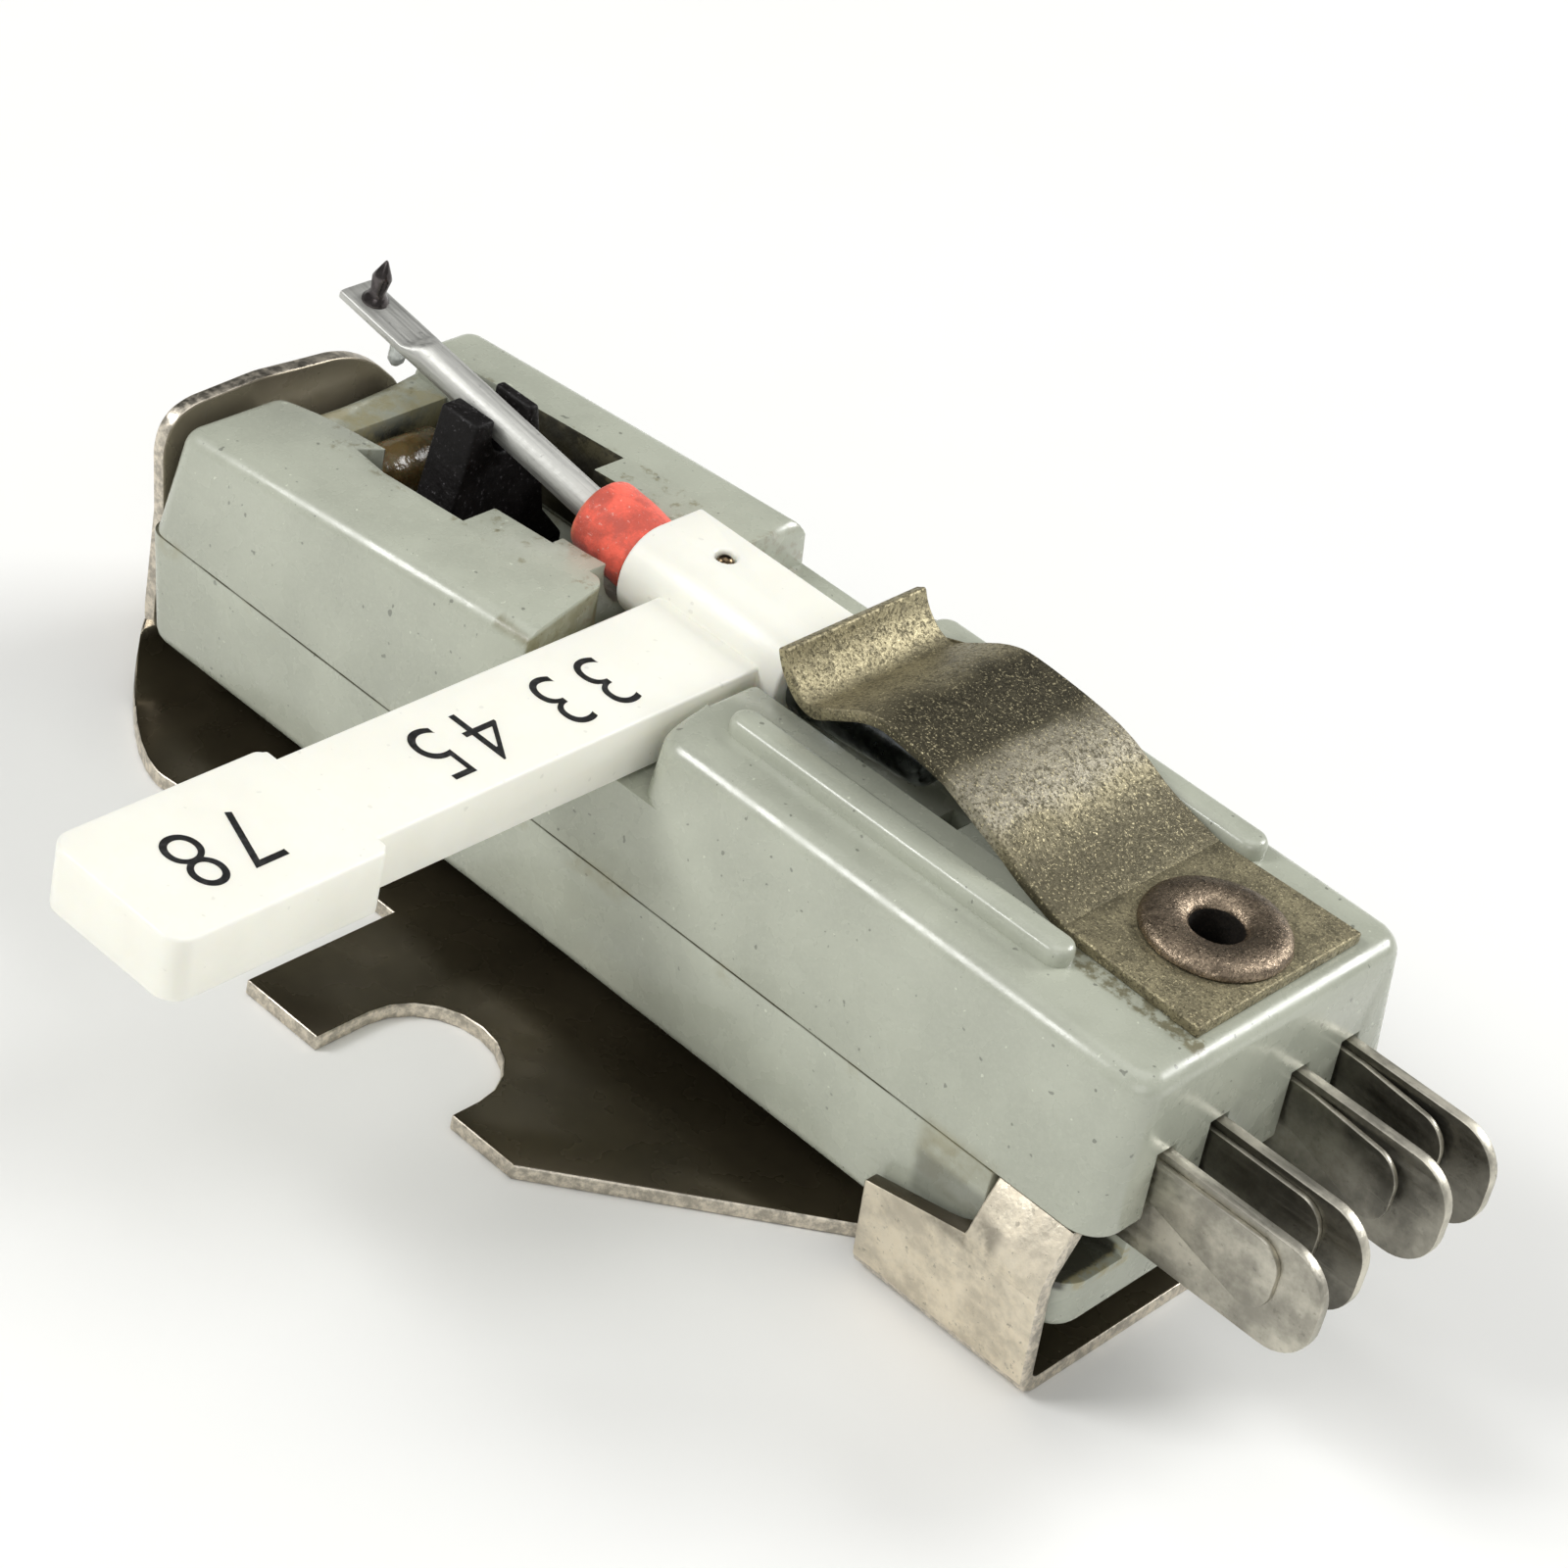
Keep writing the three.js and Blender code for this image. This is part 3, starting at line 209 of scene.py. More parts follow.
def apply_modifier(obj, kind, **settings):
    make_active(obj)
    modifier = obj.modifiers.new(kind.title(), kind)
    for key, value in settings.items():
        setattr(modifier, key, value)
    bpy.ops.object.modifier_apply(modifier=modifier.name)


def soften(obj, width, segments=2, angle=CORNER_ANGLE, leave=None):
    """Take the sharpness off every corner, except where a test on its centre says to leave it."""
    def sharp(centre, a, b):
        return a.angle(b, 0) > angle and not (leave and leave(centre))

    fillet(obj, width, segments, sharp)


def smooth(obj, angle=SMOOTH_ANGLE):
    make_active(obj)
    bpy.ops.object.shade_smooth_by_angle(angle=angle)


def turned(name, profile, axis, centre, steps):
    """Spin a closed outline, given as points in space, about an axis."""
    deselect_everything()
    bpy.ops.mesh.primitive_circle_add(vertices=len(profile), radius=MM, fill_type="NOTHING")
    obj = bpy.context.object
    obj.name = name
    for vertex, point in zip(obj.data.vertices, profile):
        vertex.co = point
    open_mesh(obj)
    bpy.ops.mesh.select_all(action="SELECT")
    bpy.ops.mesh.spin(steps=steps, angle=FULL_TURN, center=centre, axis=axis)
    bpy.ops.mesh.select_all(action="SELECT")
    bpy.ops.mesh.remove_doubles(threshold=MERGE_DISTANCE)
    bpy.ops.mesh.select_all(action="DESELECT")
    bpy.ops.mesh.select_interior_faces()
    bpy.ops.mesh.delete(type="FACE")
    turn_faces_out()
    close_mesh()
    return obj


def reshape(obj, move):
    """Move every vertex to where a function of its place says."""
    for vertex in obj.data.vertices:
        vertex.co = move(vertex.co.copy())
    obj.data.update()


def roughen(obj, size, depth, shift):
    """Push the surface in and out by soft noise, so that a soft piece isn't quite regular."""
    texture = bpy.data.textures.new(obj.name + "_noise", "CLOUDS")
    texture.noise_scale = size
    deselect_everything()
    bpy.ops.object.empty_add(location=shift)
    empty = bpy.context.object
    apply_modifier(obj, "DISPLACE", texture=texture, strength=depth, mid_level=0.5,
                   texture_coords="OBJECT", texture_coords_object=empty)
    bpy.data.objects.remove(empty)
    bpy.data.textures.remove(texture)


def finish_piece(obj, body, nodes, slot, *materials):
    """Give a piece its materials, the body that it rides on and the nodes that it stands for."""
    make_active(obj)
    bpy.ops.object.transform_apply(location=True, rotation=True, scale=True)
    obj.data.materials.clear()
    for material in materials:
        obj.data.materials.append(material)
    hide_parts(*nodes)
    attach(obj, body)
    return obj


def paint_faces(obj, index, test):
    """Use the material of that index on each face that passes a test on its centre and normal."""
    for face in obj.data.polygons:
        if test(face.center, face.normal):
            face.material_index = index


def paint_nodes(material, *names):
    """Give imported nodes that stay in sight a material."""
    for name in names:
        slots = frame["nodes"][name].data.materials
        slots.clear()
        slots.append(material)


# Materials


class Finish:
    """A principled material whose patterns are measured in millimetres on the object."""

    def __init__(self, name):
        self.material = bpy.data.materials.new(name)
        self.material.use_nodes = True
        self.tree = self.material.node_tree
        self.shader = self.tree.nodes["Principled BSDF"]
        coordinates = self.tree.nodes.new("ShaderNodeTexCoord")
        mapping = self.tree.nodes.new("ShaderNodeMapping")
        mapping.inputs["Scale"].default_value = (1 / MM, 1 / MM, 1 / MM)
        self.link(coordinates.outputs["Object"], mapping.inputs["Vector"])
        self.place = mapping.outputs["Vector"]
        self.normal = None

    def link(self, output, socket):
        self.tree.links.new(output, socket)

    def set(self, **values):
        """Set the shader's own sockets, named in lower case with underscores."""
        for key, value in values.items():
            socket = key.replace("_", " ").title().replace("Ior", "IOR")
            self.shader.inputs[socket].default_value = value
        return self

    def stretched(self, scale, turn=(0, 0, 0)):
        """The same coordinates, turned and then stretched."""
        mapping = self.tree.nodes.new("ShaderNodeMapping")
        mapping.vector_type = "TEXTURE"
        mapping.inputs["Rotation"].default_value = turn
        mapping.inputs["Scale"].default_value = scale
        self.link(self.place, mapping.inputs["Vector"])
        return mapping.outputs["Vector"]

    def noise(self, scale, detail=2, roughness=0.5, place=None):
        """Noise whose scale counts its grains in each millimetre."""
        node = self.tree.nodes.new("ShaderNodeTexNoise")
        node.inputs["Scale"].default_value = scale
        node.inputs["Detail"].default_value = detail
        node.inputs["Roughness"].default_value = roughness
        self.link(place or self.place, node.inputs["Vector"])
        return node.outputs["Fac"]

    def axis(self, name):
        node = self.tree.nodes.new("ShaderNodeSeparateXYZ")
        self.link(self.place, node.inputs["Vector"])
        return node.outputs[name]

    def span(self, value, low, high, to_low=0, to_high=1):
        """Map a range of a value to another range, and clamp it."""
        node = self.tree.nodes.new("ShaderNodeMapRange")
        node.interpolation_type = "SMOOTHSTEP"
        node.inputs["From Min"].default_value = low
        node.inputs["From Max"].default_value = high
        node.inputs["To Min"].default_value = to_low
        node.inputs["To Max"].default_value = to_high
        self.link(value, node.inputs["Value"])
        return node.outputs["Result"]

    def combine(self, kind, a, b):
        """Do arithmetic on two sockets or numbers, and keep a product between zero and one."""
        node = self.tree.nodes.new("ShaderNodeMath")
        node.operation = kind
        node.use_clamp = kind == "MULTIPLY"
        for socket, value in zip(node.inputs, (a, b)):
            if hasattr(value, "links"):
                self.link(value, socket)
            else:
                socket.default_value = value
        return node.outputs["Value"]

    def band(self, value, centre, half, soft):
        """One inside a band round a centre, falling to zero outside it."""
        away = self.combine("ABSOLUTE", self.combine("SUBTRACT", value, centre), 0)
        return self.span(away, half, half + soft, 1, 0)

    def zone(self, low, high, soft):
        """One inside a box, falling to zero outside it.

        The box's corners are given as station, Y and Z in millimetres.
        """
        inside = 1
        shift = (NOTCH_STATION, 0, 0)
        for axis, start, end, offset in zip("XYZ", low, high, shift):
            place = self.axis(axis)
            rise = self.span(place, start - offset - soft, start - offset)
            fall = self.span(place, end - offset, end - offset + soft, 1, 0)
            within = self.combine("MULTIPLY", rise, fall)
            inside = self.combine("MULTIPLY", within, inside)
        return inside

    def blend(self, share, a, b):
        node = self.tree.nodes.new("ShaderNodeMix")
        node.data_type = "RGBA"
        sockets = {"share": node.inputs["Factor"], "a": node.inputs[6], "b": node.inputs[7]}
        for key, value in (("share", share), ("a", a), ("b", b)):
            if hasattr(value, "links"):
                self.link(value, sockets[key])
            elif key == "share":
                sockets[key].default_value = value
            else:
                sockets[key].default_value = (*value, 1)
        return node.outputs[2]

    def mottle(self, base, dark, light, pattern, low=0.35, high=0.65):
        """Cloudy patches between a darker and a lighter shade of one colour."""
        return self.blend(self.span(pattern, low, high), shade(base, dark), shade(base, light))

    def cover(self, colour, mask, share, other):
        """Lay another colour over one, as far as a mask and a share of it say."""
        if share < 1:
            mask = self.combine("MULTIPLY", mask, share)
        return self.blend(mask, colour, other)

    def bump(self, height, depth):
        """Raise the surface by a depth in metres where the height is one."""
        node = self.tree.nodes.new("ShaderNodeBump")
        node.inputs["Distance"].default_value = depth
        node.inputs["Strength"].default_value = 1
        self.link(height, node.inputs["Height"])
        if self.normal:
            self.link(self.normal, node.inputs["Normal"])
        self.normal = node.outputs["Normal"]
        self.link(self.normal, self.shader.inputs["Normal"])

    def colour(self, socket):
        self.link(socket, self.shader.inputs["Base Color"])

    def gloss(self, pattern, low, high, start=0.3, end=0.7):
        """Let the roughness run between two values with a pattern."""
        self.link(self.span(pattern, start, end, low, high), self.shader.inputs["Roughness"])


def shade(colour, factor):
    return tuple(min(1, channel * factor) for channel in colour)


# Grime on the case, with painted shade and a painted reflection. Each row is a box's low and high corner,
# as station, Y and Z in millimetres, the width of its soft edge, the pattern that breaks it up, its
# strength, and its colour or its shade of grime.
CASE_DIRT_AND_SHADE = (
    # Painted shade: nearly black deep inside the slot, below the fork.
    ((0.85, -1.75, 2), (7.6, 2.3, 4.3), 0.85, None, 0.95, (0.014, 0.012, 0.009)),
    ((-0.2, -1, 3.6), (1, 2.1, 5.3), 0.12, "blotches", 0.75, 1),
    ((1.5, -1.75, 4), (7.2, 2.25, 6.2), 0.1, "spatter", 0.6, 0.7),
    # Brown grime on the nose's end wall, darkened further as painted shade.
    ((7.7, -3.28, 4.9), (8.6, -0.95, 6.1), 0.09, "stain_and_shade", 1, (0.2, 0.185, 0.1)),
    ((7.7, -1.5, 5), (8.3, -0.8, 6.15), 0.15, "scuffs", 0.6, (0.22, 0.15, 0.08)),
    ((8.38, 1.5, 5), (8.6, 3.6, 6.3), 0.06, "scuffs", 0.35, (0.22, 0.16, 0.1)),
    ((17.6, -1.98, 6.1), (21.5, -1.7, 6.4), 0.12, "crust", 0.85, 0.55),
    # Painted shade: the floor of the pocket under the upper shell, nearly black.
    ((20.5, -3.9, 2.2), (21.35, -2.2, 2.42), 0.1, None, 0.9, 0.08),
    ((21.4, -3.9, 2.2), (21.7, -2.2, 2.42), 0.08, "crust", 0.75, 1.3),
    ((18.5, -4, 2.6), (19.75, -3.2, 3.42), 0.3, "smear", 1, 0.75),
    # Painted reflection: the dark bracket wall mirrored in the lower shell's side.
    ((18.5, -4, 2.2), (19.8, -3.2, 2.8), 0.22, None, 0.55, (0.1, 0.105, 0.085)),
)
# The scale, detail and roughness of each pattern's noise, then the range that shows and its strengths.
DIRT_AND_SHADE_PATTERNS = {
    "blotches": ((2.1, 4, 0.65), (0.36, 0.6, 0, 1)),
    "spatter": ((3, 4, 0.7), (0.55, 0.66, 0, 1)),
    "scuffs": ((4, 4, 0.7), (0.5, 0.6, 0, 1)),
    "stain_and_shade": ((2.4, 4, 0.65), (0.35, 0.65, 0.6, 0.9)),
    "crust": ((4, 4, 0.7), (0.42, 0.58, 0, 1)),
    "smear": ((1.6, 4, 0.65), (0.35, 0.65, 0.15, 0.6)),
}


def case_plastic(sizes):
    """Grey-green moulded plastic, mottled and specked, with grime in its seam, slot and corners, painted
    shade in the slot, in the pocket and on the nose's end wall, and a painted reflection on the lower side.
    """
    paint = Finish("case_plastic")
    base = tuple(sizes.plastic_colour)
    grime = tuple(sizes.grime_colour)
    colour = paint.mottle(base, 0.93, 1.05, paint.noise(0.55, 3))
    fine = paint.span(paint.noise(16, 3, 0.6), 0.42, 0.66)
    colour = paint.cover(colour, fine, 0.3, shade(base, 1.14))
    specks = paint.span(paint.noise(7, 1, 0.3), 0.755, 0.775)
    colour = paint.cover(colour, specks, 0.6, shade(base, 0.22))
    turned_place = paint.stretched((1, 1, 1), (1, 0, 0))
    dust = paint.span(paint.noise(9, 1, 0.3, turned_place), 0.785, 0.8)
    colour = paint.cover(colour, dust, 0.5, shade(base, 1.8))
    colour = seam_dirt(paint, colour, sizes.seam_height / MM, grime)
    for low, high, soft, pattern, share, tint in CASE_DIRT_AND_SHADE:
        mask = paint.zone(low, high, soft)
        if pattern:
            noise, levels = DIRT_AND_SHADE_PATTERNS[pattern]
            mask = paint.combine("MULTIPLY", mask, paint.span(paint.noise(*noise), *levels))
        other = tint if isinstance(tint, tuple) else shade(grime, tint)
        colour = paint.cover(colour, mask, share, other)
    paint.colour(colour)
    roughness = sizes.plastic_roughness
    paint.gloss(paint.noise(2.2, 3), roughness - 0.05, roughness + 0.08)
    paint.bump(paint.noise(1.1, 2), 0.009 * MM)
    paint.bump(paint.noise(9, 3, 0.6), 0.0022 * MM)
    return paint.set(ior=1.5, specular_ior_level=0.75).material


def seam_dirt(paint, colour, seam, grime):
    """A dark line in the seam between the shells, and a faint stain below it."""
    height = paint.axis("Z")
    line = paint.band(height, seam, 0.008, 0.022)
    worn = paint.span(paint.noise(1.3, 3), 0.3, 0.6, 0.6, 1)
    colour = paint.blend(paint.combine("MULTIPLY", line, worn), colour, shade(grime, 0.2))
    below = paint.band(height, seam - 0.12, 0.08, 0.22)
    stain = paint.span(paint.noise(0.9, 3, 0.6), 0.54, 0.72, 0, 0.5)
    return paint.blend(paint.combine("MULTIPLY", below, stain), colour, grime)


def slot_shade_and_grime(sizes):
    """The slot's side walls: plain plastic in front, a little darker, and behind the fork painted shade,
    nearly black, with patches of grime near the top.
    """
    paint = Finish("slot_shade_and_grime")
    grime = tuple(sizes.grime_colour)
    # Painted shade: a nearly black mottle of the grime colour.
    shade_and_grime = paint.mottle(grime, 0.05, 0.14, paint.noise(1.2, 4, 0.65))
    upper = paint.span(paint.axis("Z"), 5.3, 6)
    patches = paint.span(paint.noise(2.6, 4, 0.7), 0.45, 0.62)
    shade_and_grime = paint.blend(paint.combine("MULTIPLY", patches, upper), shade_and_grime, shade(grime, 0.3))
    # The painted shade begins behind the fork.
    clean_end, shade_start = 1.9 - NOTCH_STATION, 2.9 - NOTCH_STATION
    depth = paint.span(paint.axis("X"), clean_end, shade_start)
    paint.colour(paint.blend(depth, shade(tuple(sizes.plastic_colour), 0.8), shade_and_grime))
    paint.gloss(paint.noise(3, 3), 0.35, 0.6)
    paint.bump(paint.noise(5, 4, 0.65), 0.02 * MM)
    return paint.material


def lever_plastic(sizes):
    """Ivory moulded plastic, glossy and slightly translucent."""
    paint = Finish("lever_plastic")
    base = tuple(sizes.ivory_colour)
    colour = paint.mottle(base, 0.965, 1, paint.noise(0.7, 3))
    specks = paint.span(paint.noise(5, 1, 0.4), 0.745, 0.77)
    paint.colour(paint.cover(colour, specks, 0.25, shade(base, 0.55)))
    paint.gloss(paint.noise(2, 3), 0.3, 0.4)
    paint.bump(paint.noise(1.3, 2), 0.008 * MM)
    paint.bump(paint.noise(10, 3), 0.0015 * MM)
    paint.set(ior=1.52, subsurface_weight=0.25, subsurface_scale=0.6 * MM)
    return paint.set(subsurface_radius=(1, 0.85, 0.6)).material


def printed_ink(sizes):
    """Black ink, a little worn."""
    paint = Finish("printed_ink")
    paint.colour(paint.mottle(tuple(sizes.ink_colour), 1, 3, paint.noise(9, 3), 0.45, 0.75))
    paint.gloss(paint.noise(5, 2), 0.35, 0.55)
    return paint.material


def sheet_nickel(sizes):
    """Smooth plated sheet metal, tarnished dark brown, and lighter on the tongue."""
    paint = Finish("sheet_nickel")
    base = tuple(sizes.sheet_colour)
    colour = paint.mottle(base, 0.8, 1.15, paint.noise(0.4, 4, 0.6))
    spots = paint.span(paint.noise(5, 4, 0.65), 0.64, 0.74)
    colour = paint.cover(colour, spots, 0.6, shade(base, 0.5))
    pale = paint.span(paint.noise(7, 3, 0.7), 0.68, 0.76)
    colour = paint.cover(colour, pale, 0.5, shade(base, 1.8))
    tongue = paint.zone((-1, -4, 1.2), (0.3, 4, 6), 0.3)
    paint.colour(paint.blend(tongue, colour, tuple(sizes.tongue_colour)))
    paint.gloss(paint.noise(1.2, 3), 0.22, 0.34)
    paint.bump(paint.noise(6, 3, 0.6), 0.0015 * MM)
    paint.bump(paint.noise(0.5, 2), 0.02 * MM)
    return paint.set(metallic=0.55, specular_ior_level=0.3).material


def worn_nickel(sizes):
    """The satin outer side of the bracket: beige, speckled and scuffed."""
    paint = Finish("worn_nickel")
    base = tuple(sizes.wall_colour)
    colour = paint.mottle(base, 0.78, 1.1, paint.noise(1.1, 5, 0.7))
    spots = paint.span(paint.noise(7, 4, 0.7), 0.6, 0.7)
    colour = paint.cover(colour, spots, 0.65, shade(base, 0.4))
    # A darker noisy patch on the tab's fold.
    fold = paint.zone((19.2, -4.3, 2.3), (20.3, -3.2, 2.75), 0.25)
    tone = paint.span(paint.noise(1.4, 4, 0.7), 0.4, 0.62, 0.15, 0.85)
    paint.colour(paint.blend(paint.combine("MULTIPLY", fold, tone), colour, shade(base, 0.42)))
    paint.gloss(paint.noise(5, 4), 0.38, 0.58)
    paint.bump(paint.noise(12, 4, 0.7), 0.006 * MM)
    paint.bump(paint.noise(1.5, 3), 0.02 * MM)
    return paint.set(metallic=1.0).material


def cut_edge_and_highlight(sizes):
    """The sheared edge of the sheet, lighter and unevenly bright, also laid on the rounded strips along the
    edges as a painted highlight.
    """
    paint = Finish("cut_edge_and_highlight")
    streaks = paint.noise(6, 4, 0.7)
    paint.colour(paint.mottle(tuple(sizes.edge_and_highlight_colour), 0.6, 1.15, streaks))
    paint.gloss(streaks, 0.28, 0.5)
    paint.bump(streaks, 0.01 * MM)
    return paint.set(metallic=1.0).material


def mottled_bronze(name, base, roughness, metallic, bands=()):
    """Tarnished spring metal with a fine dark and bright grain, and bands across the part, which on the
    clip paint a highlight, a reflection and shade, and a paler band.

    Each band is its station and half width in millimetres, its soft edge, its strength and its colour.
    """
    paint = Finish(name)
    colour = paint.mottle(base, 0.75, 1.12, paint.noise(1.4, 4, 0.7), 0.38, 0.62)
    wave = paint.combine("ADD", paint.axis("X"), paint.noise(0.9, 3))
    noise_middle = 0.5
    for place, half, soft, share, tint in bands:
        mask = paint.band(wave, place - NOTCH_STATION + noise_middle, half, soft)
        colour = paint.cover(colour, mask, share, tint)
    clumps = paint.noise(5, 5, 0.8)
    colour = paint.blend(paint.span(clumps, 0.5, 0.62, 0, 0.6), colour, shade(base, 0.32))
    grains = paint.noise(15, 3, 0.7)
    colour = paint.blend(paint.span(grains, 0.5, 0.62, 0, 0.75), colour, shade(base, 0.3))
    bright = paint.span(paint.noise(21, 3, 0.7), 0.57, 0.66, 0, 0.8)
    paint.colour(paint.blend(bright, colour, shade(base, 2.2)))
    paint.gloss(grains, roughness - 0.1, roughness + 0.16, 0.35, 0.65)
    paint.bump(clumps, 0.02 * MM)
    paint.bump(grains, 0.012 * MM)
    return paint.set(metallic=metallic).material


def dull_tin(name, base):
    """Tinned terminal metal: grey-brown with scratches along it."""
    paint = Finish(name)
    colour = paint.mottle(base, 0.62, 1.25, paint.noise(0.8, 5, 0.65), 0.36, 0.66)
    spots = paint.span(paint.noise(6, 4, 0.7), 0.6, 0.72)
    colour = paint.cover(colour, spots, 0.6, shade(base, 0.4))
    scratch = paint.noise(3, 4, 0.6, paint.stretched((7, 0.4, 0.4)))
    paint.colour(paint.blend(paint.span(scratch, 0.6, 0.75, 0, 0.4), colour, shade(base, 1.5)))
    paint.gloss(scratch, 0.34, 0.52)
    paint.bump(scratch, 0.005 * MM)
    paint.bump(paint.noise(9, 4, 0.7), 0.006 * MM)
    return paint.set(metallic=1.0).material


def dark_polish(name, base):
    """Polished dark metal or stone."""
    paint = Finish(name)
    paint.colour(paint.mottle(base, 0.7, 1.3, paint.noise(5, 3)))
    paint.gloss(paint.noise(9, 3), 0.14, 0.28)
    return paint.set(metallic=1.0).material


def drawn_aluminium(sizes):
    """Satin aluminium with fine draw lines along the tube."""
    paint = Finish("drawn_aluminium")
    base = tuple(sizes.tube_colour)
    lines = paint.noise(4, 4, 0.6, paint.stretched((9, 0.25, 0.25), (0, tube_lift, 0)))
    colour = paint.mottle(base, 0.86, 1.06, lines)
    spots = paint.span(paint.noise(7, 3, 0.7), 0.64, 0.74)
    paint.colour(paint.cover(colour, spots, 0.6, shade(base, 0.45)))
    paint.gloss(lines, 0.46, 0.6)
    paint.bump(lines, 0.004 * MM)
    paint.bump(paint.noise(9, 3), 0.006 * MM)
    return paint.set(metallic=0.85).material


def red_rubber(sizes):
    """Mottled red rubber with pale dust and an orange-tan rim."""
    paint = Finish("red_rubber")
    base = tuple(sizes.sleeve_colour)
    pale_dust = (0.8, 0.62, 0.56)
    rim_width = 0.22
    colour = paint.mottle(base, 0.7, 1.25, paint.noise(2, 4, 0.65), 0.36, 0.64)
    dust = paint.span(paint.noise(11, 4, 0.75), 0.6, 0.7)
    colour = paint.cover(colour, dust, 0.6, pale_dust)
    front = (tube_place.x - sizes.sleeve_length) / MM
    rim = paint.span(paint.axis("X"), front, front + rim_width, 1, 0)
    rim = paint.combine("MULTIPLY", rim, paint.span(paint.noise(6, 3), 0.35, 0.6))
    paint.colour(paint.cover(colour, rim, 0.8, tuple(sizes.rim_colour)))
    paint.gloss(paint.noise(4, 3), 0.5, 0.75)
    paint.bump(paint.noise(7, 5, 0.7), 0.03 * MM)
    return paint.set(sheen_weight=0.15, sheen_roughness=0.5).material


def plain_rubber(name, base, dust_colour, dust_share, roughness, reflection=0.5):
    """Matt rubber with lint and dust on it."""
    paint = Finish(name)
    colour = paint.mottle(base, 0.75, 1.3, paint.noise(1.5, 3))
    dust = paint.span(paint.noise(12, 4, 0.75), 0.59, 0.7)
    paint.colour(paint.cover(colour, dust, dust_share, dust_colour))
    paint.gloss(paint.noise(3, 3), roughness - 0.08, roughness + 0.1)
    paint.bump(paint.noise(4, 4, 0.65), 0.03 * MM)
    return paint.set(specular_ior_level=reflection).material


def amber_gel(sizes):
    """Aged amber damping pad, glossy and half clear."""
    paint = Finish("amber_gel")
    base = tuple(sizes.damper_colour)
    colour = paint.mottle(base, 0.45, 1.3, paint.noise(1.4, 4, 0.6), 0.36, 0.64)
    dust = paint.span(paint.noise(8, 4, 0.7), 0.6, 0.72)
    paint.colour(paint.cover(colour, dust, 0.5, shade(base, 2)))
    paint.gloss(paint.noise(3, 3), 0.1, 0.3)
    paint.bump(paint.noise(2, 4), 0.05 * MM)
    return paint.set(subsurface_weight=0.3, subsurface_scale=0.5 * MM).material


def pale_stone(sizes):
    """A glassy pale stylus."""
    paint = Finish("pale_stone")
    paint.colour(paint.mottle(tuple(sizes.coarse_colour), 0.7, 1.15, paint.noise(6, 3)))
    paint.gloss(paint.noise(8, 2), 0.08, 0.2)
    return paint.set(ior=1.76, transmission_weight=0.6).material


def element_ceramic(sizes):
    """Matt, unevenly fired ceramic of the piezo strips."""
    paint = Finish("element_ceramic")
    base = tuple(sizes.element_colour)
    paint.colour(paint.mottle(base, 0.8, 1.1, paint.noise(1.2, 4, 0.65), 0.4, 0.6))
    paint.gloss(paint.noise(3, 3), 0.45, 0.7)
    paint.bump(paint.noise(8, 4), 0.008 * MM)
    return paint.material


def floor_paper(sizes):
    """Near-white paper."""
    paint = Finish("floor_paper")
    paint.colour(paint.mottle(tuple(sizes.floor_colour), 0.985, 1, paint.noise(0.05, 3)))
    paint.gloss(paint.noise(0.5, 2), 0.8, 0.9)
    return paint.material


# What a user would change


def length_choice(name, description, millimetres, precision=5):
    """A length, given here in millimetres and kept in metres."""
    return FloatProperty(name=name, description=description, default=millimetres * MM, unit="LENGTH",
                         precision=precision)


def angle_choice(name, description, degrees):
    """An angle, given here in degrees and kept in radians."""
    return FloatProperty(name=name, description=description, default=math.radians(degrees), subtype="ANGLE")


def colour_choice(name, description, default):
    return FloatVectorProperty(name=name, description=description, default=default, subtype="COLOR",
                               min=0, max=1)


class CaseSizes(bpy.types.PropertyGroup):
    """Sizes and colours of the two shells."""

    top_round: length_choice("Top Rounding", "Rounding along the outer top edges", 0.32)
    nose_round: length_choice("Nose Rounding", "Rounding of the nose's inner front corners", 0.28)
    rib_spacing: length_choice("Rib Spacing", "Between the middles of the two ribs", 4.8)
    rib_rise: length_choice("Rib Rise", "Extra height of the two ribs", 0.1)
    edge_round: length_choice("Edge Rounding", "Rounding of every other edge", 0.035)
    seam_height: length_choice("Seam Height", "Height of the seam between the shells",
                               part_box("lower_shell")[1].z / MM)
    plastic_roughness: FloatProperty(name="Roughness", description="Roughness of the plastic", default=0.25,
                                     min=0, max=1, subtype="FACTOR")
    plastic_colour: colour_choice("Plastic", "Colour of both shells", (0.43, 0.45, 0.37))
    # Its darker shades also paint the shade on the slot's walls and in the pocket.
    grime_colour: colour_choice("Grime", "Dirt along the seam and in the slot", (0.3, 0.27, 0.15))


class BracketSizes(bpy.types.PropertyGroup):
    """Sizes and colours of the mounting bracket."""

    edge_round: length_choice("Edge Rounding", "Rounding of the sheet's edges", 0.05)
    fold_round: length_choice("Fold Rounding", "Rounding of the fold under each tab", 0.3)
    sheet_colour: colour_choice("Sheet", "Colour of the plate and the tongue", (0.055, 0.045, 0.027))
    tongue_colour: colour_choice("Tongue", "Colour of the tongue's inner face", (0.24, 0.21, 0.155))
    wall_colour: colour_choice("Walls", "Colour of the side walls' outer faces", (0.76, 0.69, 0.56))
    # Also the painted highlight along the rounded edges.
    edge_and_highlight_colour: colour_choice("Cut Edge", "Colour of the sheared edges", (0.7, 0.64, 0.54))


